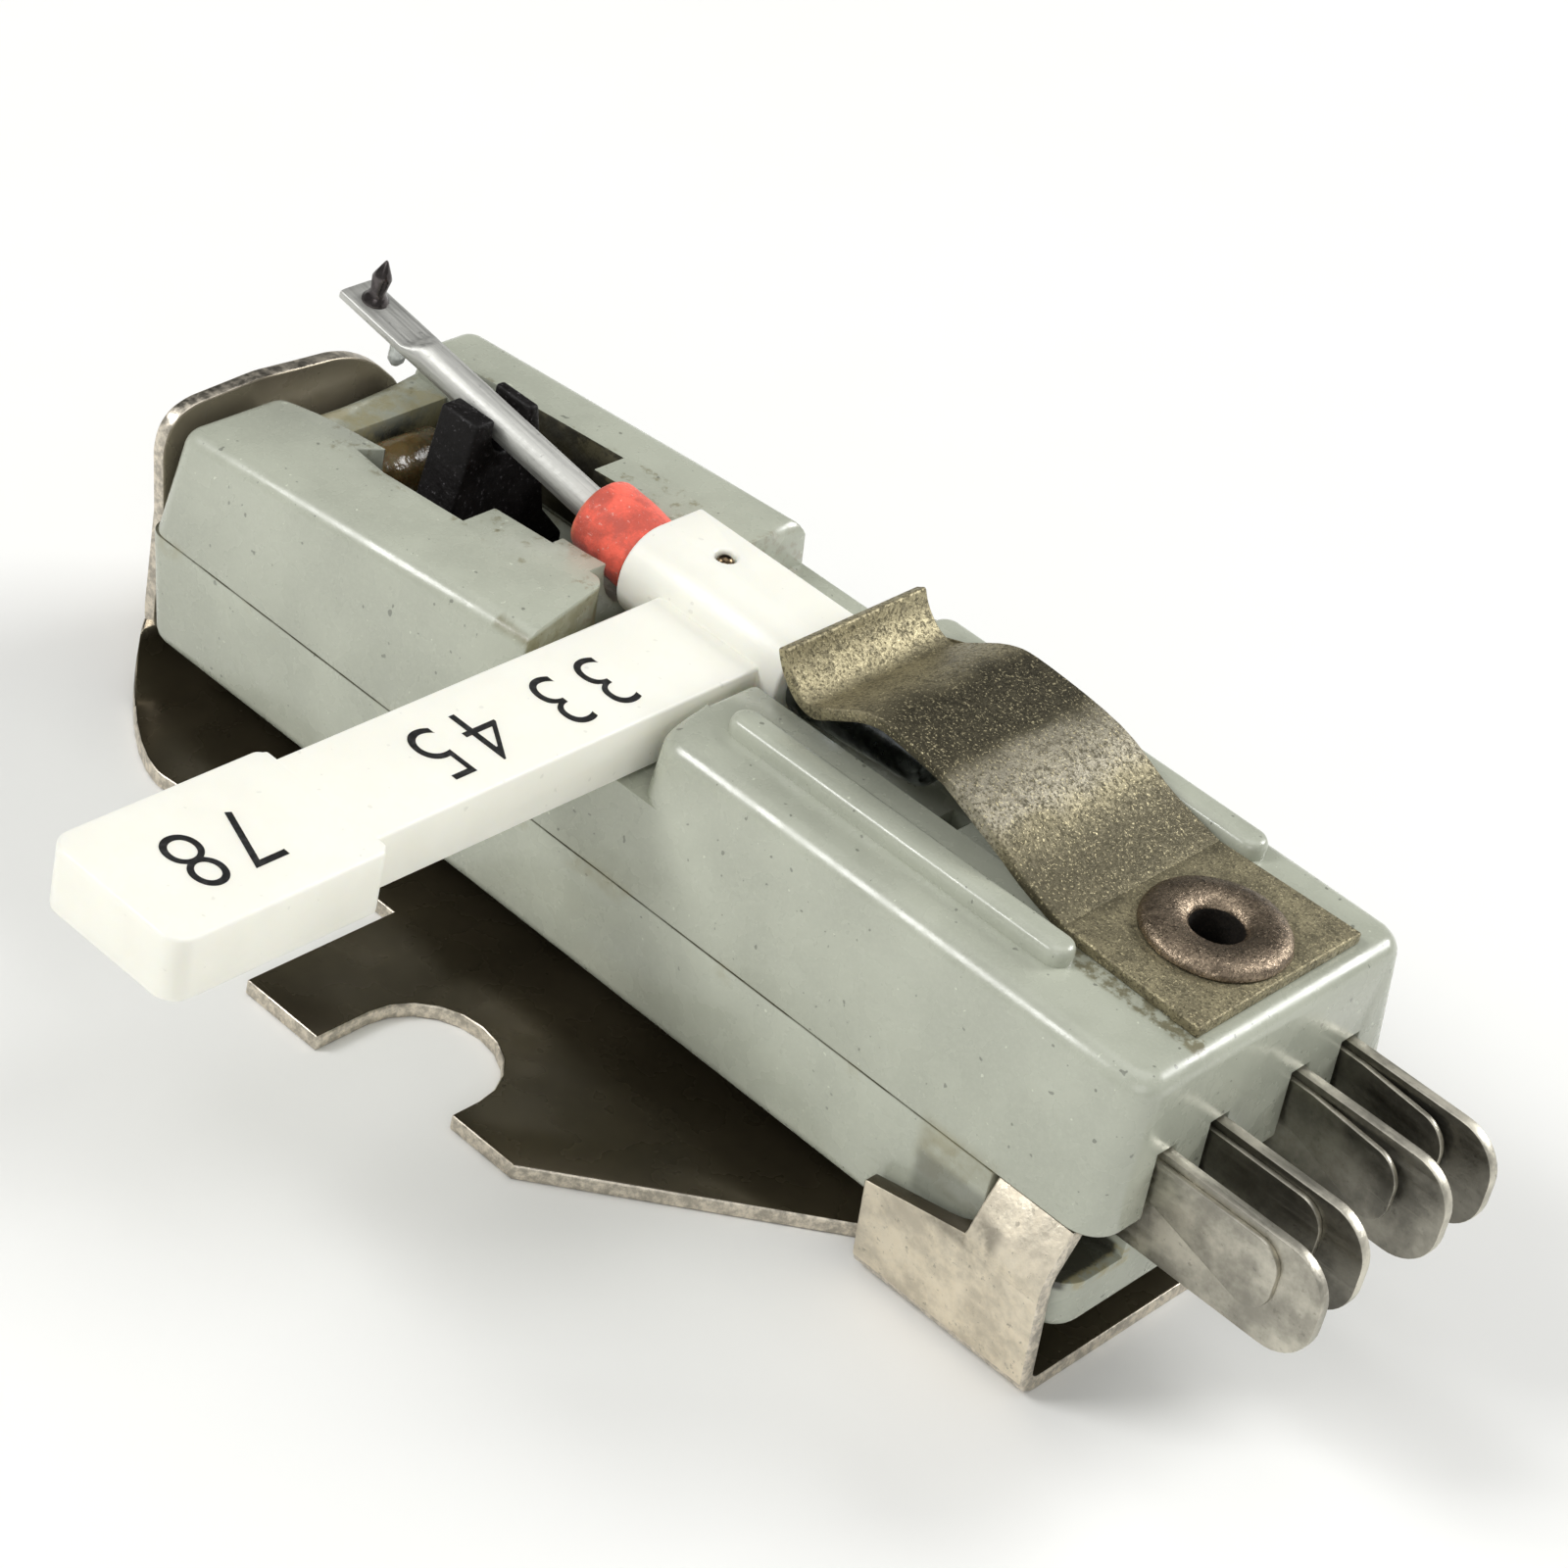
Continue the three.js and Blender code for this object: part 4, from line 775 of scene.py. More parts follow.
class LeverSizes(bpy.types.PropertyGroup):
    """Sizes and colours of the stylus lever and what is printed on it."""

    edge_round: length_choice("Edge Rounding", "Rounding of the arm's edges", 0.07)
    number_height: length_choice("Number Height", "Height of the printed numbers", 1.35)
    number_width: FloatProperty(name="Number Width", description="Share of the font's own width",
                                default=0.82, min=0.3, max=2, subtype="FACTOR")
    ink_depth: length_choice("Ink Depth", "Thickness of the printed numbers", 0.006, 6)
    arm_numbers: StringProperty(name="Numbers on the Arm", description="Plain numbers on the arm",
                                default="33 45")
    grip_numbers: StringProperty(name="Numbers on the Grip", description="Plain numbers on the grip",
                                 default="78")
    ivory_colour: colour_choice("Ivory", "Colour of the lever", (0.94, 0.93, 0.84))
    ink_colour: colour_choice("Ink", "Colour of the numbers", (0.012, 0.012, 0.012))


class StylusSizes(bpy.types.PropertyGroup):
    """Sizes and colours of the cantilever, its sleeve, both styli, the axle and the pin."""

    tube_radius: length_choice("Tube Radius", "Outer radius of the tube", 0.31)
    tube_length: length_choice("Tube Length", "From the hub to the tube's tip", 7.83)
    flat_length: length_choice("Flat Length", "Length of the pressed end", 1.58)
    press_length: length_choice("Press Length", "Length of the change from round to flat", 0.5)
    flat_half_width: length_choice("Flat Half Width", "Half the width of the pressed end", 0.4)
    flat_half_height: length_choice("Flat Half Height", "Half the height of the pressed end", 0.095, 6)
    sleeve_length: length_choice("Sleeve Length", "From the hub to the sleeve's rim", 1.45)
    sleeve_radius: length_choice("Sleeve Radius", "Outer radius of the sleeve", 0.71)
    fine_inset: length_choice("Fine Stylus Inset", "From the tube's tip to the fine stylus", 0.49)
    coarse_inset: length_choice("Coarse Stylus Inset", "From the tube's tip to the coarse stylus", 1.3)
    segments: IntProperty(name="Segments", description="Faces round each turned piece", default=40, min=12)
    tube_colour: colour_choice("Tube", "Colour of the tube", (0.6, 0.6, 0.57))
    sleeve_colour: colour_choice("Sleeve", "Colour of the sleeve", (0.8, 0.12, 0.075))
    rim_colour: colour_choice("Rim", "Colour of the sleeve's worn rim", (0.6, 0.28, 0.08))
    core_colour: colour_choice("Core", "Colour of the core in the sleeve", (0.08, 0.03, 0.03))
    fine_colour: colour_choice("Fine Stylus", "Colour of the fine stylus", (0.09, 0.08, 0.08))
    coarse_colour: colour_choice("Coarse Stylus", "Colour of the coarse stylus", (0.8, 0.83, 0.8))
    axle_colour: colour_choice("Axle", "Colour of the axle", (0.16, 0.17, 0.18))
    pin_colour: colour_choice("Pin", "Colour of the pin in the hub", (0.14, 0.1, 0.06))


class FittingSizes(bpy.types.PropertyGroup):
    """Sizes and colours of the clip, the eyelet, the terminals and the inner pieces."""

    clip_round: length_choice("Clip Rounding", "Rounding of the clip's edges", 0.045)
    groove_room: length_choice("Groove Room", "Extra depth of the fork's groove", 0.07)
    blade_round: length_choice("Blade Rounding", "Rounding of the blades' edges", 0.03)
    clip_colour: colour_choice("Clip", "Colour of the clip", (0.3, 0.265, 0.165))
    # Colour of a paler band across the clip's arm.
    clip_pale_colour: colour_choice("Worn Clip", "Colour where the clip's plating is left",
                                    (0.4, 0.375, 0.31))
    eyelet_colour: colour_choice("Eyelet", "Colour of the eyelet", (0.3, 0.235, 0.17))
    terminal_colour: colour_choice("Terminals", "Colour of the blades and leaves", (0.42, 0.4, 0.34))
    fork_colour: colour_choice("Fork", "Colour of the coupler fork and the clamp", (0.006, 0.005, 0.005))
    damper_colour: colour_choice("Damper", "Colour of the damping pad", (0.09, 0.062, 0.024))
    element_colour: colour_choice("Elements", "Colour of the piezo strips", (0.62, 0.57, 0.42))


class StageSizes(bpy.types.PropertyGroup):
    """The floor, the lights and the camera."""

    floor_size: FloatProperty(name="Floor Size", description="Width of the floor", default=1.2,
                              unit="LENGTH")
    floor_colour: colour_choice("Floor", "Colour of the floor", (0.88, 0.88, 0.865))
    camera_azimuth: angle_choice("Azimuth", "Turn of the camera round the part", 35.548)
    camera_elevation: angle_choice("Elevation", "Height angle of the camera", 35.494)
    camera_roll: angle_choice("Roll", "Roll of the camera", 13.557)
    camera_distance: length_choice("Distance", "From the camera to its target", 73.65)
    camera_target: FloatVectorProperty(name="Target", description="Point in the middle of the view",
                                       default=(0.149 * MM, 1.391 * MM, 2.78 * MM), subtype="TRANSLATION",
                                       precision=6)
    world_strength: FloatProperty(name="Room Light", description="Strength of the light from all around",
                                  default=0.41, min=0)
    lens: FloatProperty(name="Lens", description="Focal length in millimetres on a 36 mm sensor",
                        default=99.682)


# Operators, one for each piece or group of like pieces


class CARTRIDGE_OT_make_case(bpy.types.Operator):
    """Make the upper and the lower shell"""

    bl_idname = "cartridge.make_case"
    bl_label = "Case"

    def execute(self, context):
        sizes = context.scene.cartridge_case
        plastic = case_plastic(sizes)
        self.make_upper(sizes, plastic)
        self.make_lower(sizes, plastic)
        return {"FINISHED"}

    def make_upper(self, sizes, plastic):
        low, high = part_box("upper_shell")
        bore = middle("clip_eyelet")
        line = tube_place.y
        ribs = [Vector((0, bore.y + side * sizes.rib_spacing / 2, 0)) for side in (-1, 1)]
        cuts = [(ribs[0], OBJECT_Y), (ribs[1], OBJECT_Y), (bore, OBJECT_X), (bore, OBJECT_Y)]
        upper = copy_of_node("upper_shell", "upper_case", cuts)
        rib_foot = high.z - 0.2 * MM
        side = high.y - 0.75 * MM
        front, rear = low.x + 0.6 * MM, high.x - 0.8 * MM
        corner = side - 0.4 * MM
        shoulder = 5 * MM
        saddle_floor = 5.1 * MM
        hub_level = 5.2 * MM
        prong_foot = 4.85 * MM
        prong_reach = 2.4 * MM
        beside_hub = (-1.3 * MM, -0.8 * MM)
        hub_front = stations(7.7, 8.1)
        saddle_front = stations(11, 11.4)
        saddle_rear = stations(11.2, 12)
        channel_side = 1 * MM
        slot_run = stations(0.5, 7.4)
        slot_reach = 2 * MM
        close_vertices = 0.05 * MM

        def at_corner(point):
            return (abs(point.y) > corner and shoulder < point.z < rib_foot
                    and not front < point.x < rear)

        def outer_top(centre, a, b):
            top, wall = (a, b) if a.z > b.z else (b, a)
            outside = abs(centre.y) > side or not front < centre.x < rear
            behind_saddle = abs(centre.y) > corner and between(centre.x, saddle_rear)
            return (top.z > 0.9 and abs(wall.z) < 0.3 and (outside or behind_saddle)
                    and centre.z < rib_foot)

        def by_the_hub(centre, a, b):
            upright = abs(a.z) < 0.2 and abs(b.z) < 0.2 and centre.z > hub_level
            return (upright and between(centre.x, hub_front) and between(centre.y, beside_hub)
                    and a.angle(b, 0) > CORNER_ANGLE)

        def facing_saddle(centre, a, b):
            wall, other = (a, b) if abs(a.z) < abs(b.z) else (b, a)
            return (abs(wall.x) > 0.3 and abs(wall.z) < 0.1 and centre.z > saddle_floor
                    and between(centre.x, saddle_front) and abs(centre.y) > channel_side
                    and wall.angle(other, 0) > CORNER_ANGLE)

        def prong(centre, a, b):
            wall, other = (a, b) if abs(a.y) > abs(b.y) else (b, a)
            return (abs(wall.y) > 0.95 and centre.x < front and abs(centre.y) < prong_reach
                    and other.x < -0.2 and centre.z > prong_foot)

        def left_prong(centre, a, b):
            return centre.y < 0 and prong(centre, a, b)

        def right_prong(centre, a, b):
            return centre.y > 0 and prong(centre, a, b)

        def raise_ribs(point):
            return point + OBJECT_Z * sizes.rib_rise if point.z > rib_foot else point

        def slot_wall(centre, normal):
            inward = normal.y * (line - centre.y) > 0 and abs(normal.y) > 0.5
            return inward and between(centre.x, slot_run) and abs(centre.y - line) < slot_reach

        merge_near(upper, close_vertices, at_corner)
        fillet(upper, sizes.top_round, 6, outer_top)
        fillet(upper, sizes.nose_round, 5, by_the_hub)
        fillet(upper, sizes.edge_round * 3, 3, facing_saddle)
        fillet(upper, sizes.nose_round * 1.4, 6, left_prong)
        fillet(upper, sizes.nose_round / 2, 4, right_prong)
        soften(upper, sizes.edge_round)
        reshape(upper, raise_ribs)
        smooth(upper)
        finish_piece(upper, "body", ["upper_shell"], "grey_plastic", plastic, slot_shade_and_grime(sizes))
        # The slot's inner walls get the painted shade and grime.
        paint_faces(upper, 1, slot_wall)

    def make_lower(self, sizes, plastic):
        low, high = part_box("lower_shell")
        front_pad, rear_pad = [Vector((along, 0, 0)) for along in stations(4.4, 17.16)]
        cuts = [(front_pad, OBJECT_X), (rear_pad, OBJECT_X), (front_pad, OBJECT_Y)]
        lower = copy_of_node("lower_shell", "lower_case", cuts)
        bottom = 1.25 * MM
        near = 0.1 * MM
        inner_side = 2.6 * MM
        front, rear = low.x + 1 * MM, high.x - 0.5 * MM

        def outer_bottom(centre, a, b):
            flat, wall = (a, b) if a.z < b.z else (b, a)
            outside = abs(centre.y) > inner_side or not front < centre.x < rear
            return (flat.z < -0.9 and abs(wall.z) < 0.3 and abs(centre.z - bottom) < near
                    and outside)

        fillet(lower, sizes.top_round, 4, outer_bottom)
        soften(lower, sizes.edge_round)
        smooth(lower)
        finish_piece(lower, "body", ["lower_shell"], "grey_plastic", plastic)


class CARTRIDGE_OT_make_bracket(bpy.types.Operator):
    """Make the sheet-metal mounting bracket"""

    bl_idname = "cartridge.make_bracket"
    bl_label = "Bracket"

    def execute(self, context):
        sizes = context.scene.cartridge_bracket
        bracket = copy_of_node("mounting_bracket", "bracket_sheet")
        self.round_corners(bracket, sizes)
        soften(bracket, sizes.edge_round, 3)
        smooth(bracket)
        finish_piece(bracket, "body", ["mounting_bracket"], "nickel_steel", sheet_nickel(sizes),
                     worn_nickel(sizes), cut_edge_and_highlight(sizes))
        self.paint_sides(bracket)
        return {"FINISHED"}

    def round_corners(self, bracket, sizes):
        wall_start, tab_start = stations(19.5, 19.9)
        tongue_front, tongue_rear = stations(-0.15, 0.6)
        wall_face = 4.13 * MM
        step_start = 4.14 * MM
        step_end = 4.3 * MM
        under_tab = 2.3 * MM
        fold_foot, fold_top = 2.4 * MM, 2.7 * MM
        plate_top = 0.4 * MM
        tongue_foot = 1.5 * MM
        bend_top = 0.9 * MM
        wing_round = 0.13 * MM
        tongue_round = 0.14 * MM
        bend_round = 0.2 * MM

        def flush(point):
            """Bring the small step under the tab flush with the wall."""
            beside_wall = step_start < abs(point.y) < step_end
            if wall_start < point.x and beside_wall and point.z < under_tab:
                point.y = math.copysign(wall_face, point.y)
            return point

        def tab_fold(centre, a, b):
            return (centre.x > tab_start and fold_foot < centre.z < fold_top
                    and abs(a.x) < 0.1 and abs(b.x) < 0.1)

        def wing_corner(centre, a, b):
            upright = abs(a.z) < 0.1 and abs(b.z) < 0.1
            return (upright and 0.25 < a.angle(b, 0) < 0.6 and abs(centre.y) > step_end
                    and centre.z < plate_top)

        def tongue_corner(centre, a, b):
            across = abs(a.x) < 0.1 and abs(b.x) < 0.1
            return (across and 0.1 < a.angle(b, 0) < 0.7 and centre.x < tongue_front
                    and centre.z > tongue_foot)

        def tongue_bend(centre, a, b):
            level = abs(a.y) < 0.1 and abs(b.y) < 0.1
            return (centre.x < tongue_rear and centre.z < bend_top and level
                    and 0.5 < a.angle(b, 0) < 1.1)

        reshape(bracket, flush)
        fillet(bracket, sizes.fold_round, 4, tab_fold)
        fillet(bracket, sizes.fold_round / 2, 3, tab_fold, hollow=True)
        fillet(bracket, wing_round, 3, wing_corner)
        fillet(bracket, tongue_round, 3, tongue_corner)
        fillet(bracket, bend_round, 4, tongue_bend)

    def paint_sides(self, bracket):
        """Give the outer faces the satin finish, and the cut edges theirs, which also paints a highlight on
        the edges' rounding.
        """
        worn, cut = 1, 2
        tongue_front, tongue_rear = stations(-0.1, 0.3)
        rear_walls = station(17.4)
        wall = 3.8 * MM
        plate_top = 0.31 * MM
        above_plate = 0.3 * MM
        tongue_edge = 1 * MM
        rules = [
            (worn, lambda centre, normal: centre.x > rear_walls and abs(centre.y) > wall
             and abs(normal.y) > 0.5),
            (worn, lambda centre, normal: centre.x < tongue_rear and normal.x < -0.2
             and abs(normal.y) < 0.5),
            # The tongue's edges, lighter in part as a painted highlight on its bend.
            (cut, lambda centre, normal: centre.x < tongue_front and abs(normal.x) < 0.6
             and centre.z > tongue_edge),
            # The plate's edges, with the slanted strips of their rounding as a painted highlight.
            (cut, lambda centre, normal: centre.z < plate_top and abs(normal.z) < 0.9
             and (centre.x > tongue_rear or abs(normal.y) > 0.5)),
            (cut, lambda centre, normal: centre.x > rear_walls and abs(normal.x) > 0.6
             and centre.z > above_plate),
        ]
        for index, test in rules:
            paint_faces(bracket, index, test)


class CARTRIDGE_OT_make_lever(bpy.types.Operator):
    """Make the ivory stylus lever with its printed numbers"""

    bl_idname = "cartridge.make_lever"
    bl_label = "Lever"

    def execute(self, context):
        sizes = context.scene.cartridge_lever
        lever = copy_of_node("stylus_lever", "flip_lever")
        arm_top = lever_place.z + 0.23 * MM
        grip_start = lever_place.y - 9.25 * MM
        grip_top = arm_top + 0.004 * MM
        near = 0.02 * MM
        beside_grip = 0.1 * MM
        print_line = station(9.9)
        arm_middle, grip_middle = -4.9 * MM, -11.1 * MM

        def flush(point):
            """Bring the grip's top down to the arm's, but for a step too small to see."""
            if point.y < grip_start + beside_grip and point.z > arm_top + near:
                point.z = grip_top
            return point

        def at_step(centre):
            return abs(centre.y - grip_start) < near and abs(centre.z - arm_top) < near

        reshape(lever, flush)
        soften(lever, sizes.edge_round, 3, leave=at_step)
        smooth(lever)
        finish_piece(lever, "lever", ["stylus_lever"], "ivory_plastic", lever_plastic(sizes))
        ink = printed_ink(sizes)
        arm_place = Vector((print_line, arm_middle, arm_top))
        grip_place = Vector((print_line, grip_middle, grip_top))
        self.print_numbers("arm_numbers", sizes.arm_numbers, arm_place, sizes, ink)
        self.print_numbers("grip_numbers", sizes.grip_numbers, grip_place, sizes, ink)
        return {"FINISHED"}

    def print_numbers(self, name, text, place, sizes, ink):
        digit_share = 0.7
        thinner = -0.026 * MM
        letter_space = 1.25
        deselect_everything()
        bpy.ops.object.text_add(location=(0, 0, 0))
        obj = bpy.context.object
        obj.name = name
        obj.data.body = text
        obj.data.size = sizes.number_height / digit_share
        obj.data.align_x = "CENTER"
        obj.data.align_y = "CENTER"
        obj.data.extrude = sizes.ink_depth
        obj.data.offset = thinner
        obj.data.space_character = letter_space
        make_active(obj)
        bpy.ops.object.convert(target="MESH")
        turn = Matrix.Rotation(-QUARTER_TURN, 4, "Z")
        narrow = Matrix.Scale(sizes.number_width, 4, OBJECT_X)
        obj.data.transform(Matrix.Translation(place) @ turn @ narrow)
        obj.data.materials.clear()
        obj.data.materials.append(ink)
        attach(obj, "lever")


class CARTRIDGE_OT_make_axle(bpy.types.Operator):
    """Make the lever's tapered axle and the small pin in its hub"""

    bl_idname = "cartridge.make_axle"
    bl_label = "Axle and Pin"

    def execute(self, context):
        sizes = context.scene.cartridge_stylus
        self.make_axle(sizes)
        self.make_pin(sizes)
        return {"FINISHED"}

    def make_axle(self, sizes):
        low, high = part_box("lever_axle")
        wide = (high.z - low.z) / 2
        hub_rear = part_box("stylus_lever")[1].x
        line = lever_place
        shank = 0.4 * MM
        tip = 0.5 * MM
        round_off = 0.2 * MM
        edge_round = 0.03 * MM
        profile = [
            (low.x, 0),
            (low.x, shank),
            (hub_rear, shank),
            (hub_rear, wide),
            (high.x - round_off, tip),
            (high.x - round_off / 3, tip - round_off / 3),
            (high.x, tip - round_off),
            (high.x, 0),
        ]
        points = [Vector((x, line.y, line.z + radius)) for x, radius in profile]
        axle = turned("axle_spigot", points, OBJECT_X, line, sizes.segments)
        soften(axle, edge_round)
        smooth(axle)
        steel = dark_polish("dark_steel", tuple(sizes.axle_colour))
        finish_piece(axle, "lever", ["lever_axle"], "dark_steel", steel)

    def make_pin(self, sizes):
        low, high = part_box("hub_locking_pin")
        centre = (low + high) / 2
        radius = (high.x - low.x) / 2
        dome = 0.12 * MM
        profile = [(0, low.z), (radius, low.z), (radius, high.z - dome)]
        for share in (0.25, 0.5, 0.75):
            angle = share * QUARTER_TURN
            profile.append((radius * math.cos(angle), high.z - dome + dome * math.sin(angle)))
        profile.append((0, high.z))
        points = [Vector((centre.x + out, centre.y, height)) for out, height in profile]
        pin = turned("hub_pin", points, OBJECT_Z, centre, sizes.segments // 2)
        smooth(pin)
        bronze = dark_polish("pin_bronze", tuple(sizes.pin_colour))
        finish_piece(pin, "lever", ["hub_locking_pin"], "dark_steel", bronze)


class CARTRIDGE_OT_make_cantilever(bpy.types.Operator):
    """Make the tube with its pressed end, and the rubber sleeve"""

    bl_idname = "cartridge.make_cantilever"
    bl_label = "Cantilever and Sleeve"

    def execute(self, context):
        sizes = context.scene.cartridge_stylus
        self.make_tube(sizes)
        self.make_sleeve(sizes)
        core_dust = (0.3, 0.25, 0.2)
        core = plain_rubber("core_rubber", tuple(sizes.core_colour), core_dust, 0.3, 0.7)
        paint_nodes(core, "sleeve_core")
        return {"FINISHED"}

    def make_tube(self, sizes):
        """Extrude a cylinder forwards in steps, and press its end flat."""
        rear = 0.4 * MM
        flat_start = sizes.tube_length - sizes.flat_length
        round_end = flat_start - sizes.press_length
        steps = 8
        squareness = 0.62
        tip_round = 0.03 * MM
        deselect_everything()
        bpy.ops.mesh.primitive_cylinder_add(
            vertices=sizes.segments, radius=sizes.tube_radius, depth=round_end - rear,
            end_fill_type="NGON", location=along_tube((rear + round_end) / 2, 0, 0),
            rotation=(0, tube_lift - QUARTER_TURN, 0))
        bpy.ops.object.transform_apply(location=True, rotation=True, scale=True)
        tube = bpy.context.object
        tube.name = "pressed_tube"
        forwards = along_tube(1, 0, 0) - along_tube(0, 0, 0)
        mesh = open_mesh(tube, "FACE")
        for face in mesh.faces:
            face.select_set(face.normal.dot(forwards) > 0.9)
        bmesh.update_edit_mesh(tube.data)
        for part in (sizes.press_length, sizes.flat_length):
            for step in range(steps):
                bpy.ops.mesh.extrude_region_move(TRANSFORM_OT_translate={"value": forwards * part / steps})
        close_mesh()
        level = Matrix.Rotation(-tube_lift, 4, "Y")

        def press_flat(point):
            offset = level @ (point - tube_place)
            distance = -offset.x
            press = min(1, max(0, (distance - round_end) / sizes.press_length))
            press = press * press * (3 - 2 * press)
            half_width = sizes.tube_radius + press * (sizes.flat_half_width - sizes.tube_radius)
            half_height = sizes.tube_radius + press * (sizes.flat_half_height - sizes.tube_radius)
            angle = math.atan2(offset.z, offset.y)
            power = 1 - squareness * press
            across = math.copysign(abs(math.cos(angle)) ** power, math.cos(angle)) * half_width
            upward = math.copysign(abs(math.sin(angle)) ** power, math.sin(angle)) * half_height
            return along_tube(distance, across, upward)

        reshape(tube, press_flat)
        soften(tube, tip_round, angle=math.radians(50))
        smooth(tube, math.radians(40))
        finish_piece(tube, "cantilever", ["cantilever"], "tube_aluminium", drawn_aluminium(sizes))

    def make_sleeve(self, sizes):
        inner = sizes.tube_radius + 0.04 * MM
        outer = sizes.sleeve_radius
        front = sizes.sleeve_length
        rim = 0.12 * MM
        bore_end = 0.3 * MM
        collar = 0.2 * MM
        rear = 0.12 * MM
        swell = 0.02 * MM
        lump_size, lump_depth = 0.5 * MM, 0.03 * MM
        steps = 12
        profile = [
            (bore_end, inner),
            (front - rim / 2, inner),
            (front, inner + rim),
            (front, outer - rim),
            (front - rim / 3, outer - rim / 3),
        ]
        length = front - rim - collar
        for step in range(steps + 1):
            share = step / steps
            rise = swell * math.sin(share * math.pi)
            profile.append((front - rim - length * share, outer + rise))
        profile.append((rear, outer))
        points = [along_tube(distance, 0, upward) for distance, upward in profile]
        hub = along_tube(0, 0, 0)
        sleeve = turned("rubber_sleeve", points, along_tube(1, 0, 0) - hub, hub, sizes.segments)
        apply_modifier(sleeve, "SUBSURF", levels=1, render_levels=1)
        roughen(sleeve, lump_size, lump_depth, (0.01, 0.02, 0.03))
        smooth(sleeve, math.radians(60))
        finish_piece(sleeve, "sleeve", ["cantilever_sleeve"], "red_rubber", red_rubber(sizes))


# The outline of each stylus in millimetres: its reach from the tube's line, the radius and height of its
# points above the tube, and the radius and depth of those below its tip.
STYLUS_OUTLINES = {
    "fine_point": (0.98, ((0.25, 0), (0.24, 0.05), (0.18, 0.13), (0.14, 0.22)),
                   ((0.18, 0.38), (0.15, 0.3), (0.03, 0.03))),
    "coarse_point": (0.74, ((0.2, 0), (0.2, 0.12), (0.165, 0.3)), ((0.15, 0.14), (0.08, 0.04))),
}


class CARTRIDGE_OT_make_styli(bpy.types.Operator):
    """Make the fine stylus above the tube and the coarse one under it"""

    bl_idname = "cartridge.make_styli"
    bl_label = "Styli"

    def execute(self, context):
        sizes = context.scene.cartridge_stylus
        fine = dark_polish("fine_stone", tuple(sizes.fine_colour))
        kinds = [
            ("fine_point", "stylus_fine", "fine_sapphire", sizes.fine_inset, 1, fine),
            ("coarse_point", "stylus_coarse", "coarse_sapphire", sizes.coarse_inset, -1, pale_stone(sizes)),
        ]
        for name, node, slot, inset, side, material in kinds:
            distance = sizes.tube_length - inset
            profile = self.profile(name, sizes.flat_half_height)
            points = [along_tube(distance, out, side * up) for out, up in profile]
            seat = along_tube(distance, 0, 0)
            axis = along_tube(distance, 0, 1) - seat
            stylus = turned(name, points, axis, seat, sizes.segments // 2)
            smooth(stylus, math.radians(35))
            finish_piece(stylus, "cantilever", [node], slot, material)
        return {"FINISHED"}

    def profile(self, name, seat):
        reach, above_seat, below_tip = STYLUS_OUTLINES[name]
        tip = reach * MM
        profile = [(0, seat)]
        profile += [(radius * MM, seat + height * MM) for radius, height in above_seat]
        profile += [(radius * MM, tip - depth * MM) for radius, depth in below_tip]
        return profile + [(0, tip)]


class CARTRIDGE_OT_make_fork(bpy.types.Operator):
    """Make the rubber coupler fork and the damping pad"""

    bl_idname = "cartridge.make_fork"
    bl_label = "Fork and Damper"

    def execute(self, context):
        sizes = context.scene.cartridge_fittings
        lint = (0.16, 0.15, 0.16)
        black = plain_rubber("black_rubber", tuple(sizes.fork_colour), lint, 0.6, 0.5, 0.2)
        fork = copy_of_node("coupler_fork", "rubber_fork")
        line, groove = tube_place.y, 0.415 * MM
        groove_floor, groove_top = 6.2 * MM, 6.7 * MM
        fork_round, damper_round = 0.07 * MM, 0.06 * MM

        def deepen(point):
            """Give the tube room to dip by lowering the bottom of the groove that it lies in."""
            if abs(point.y - line) < groove and groove_floor < point.z < groove_top:
                point.z -= sizes.groove_room
            return point

        reshape(fork, deepen)
        soften(fork, fork_round, 3)
        smooth(fork)
        finish_piece(fork, "fork", ["coupler_fork"], "black_rubber", black)
        damper = copy_of_node("front_damper", "damping_pad")
        soften(damper, damper_round, 3)
        smooth(damper)
        finish_piece(damper, "body", ["front_damper"], "amber_rubber", amber_gel(sizes))
        paint_nodes(black, "element_clamp_lower", "element_clamp_upper")
        return {"FINISHED"}


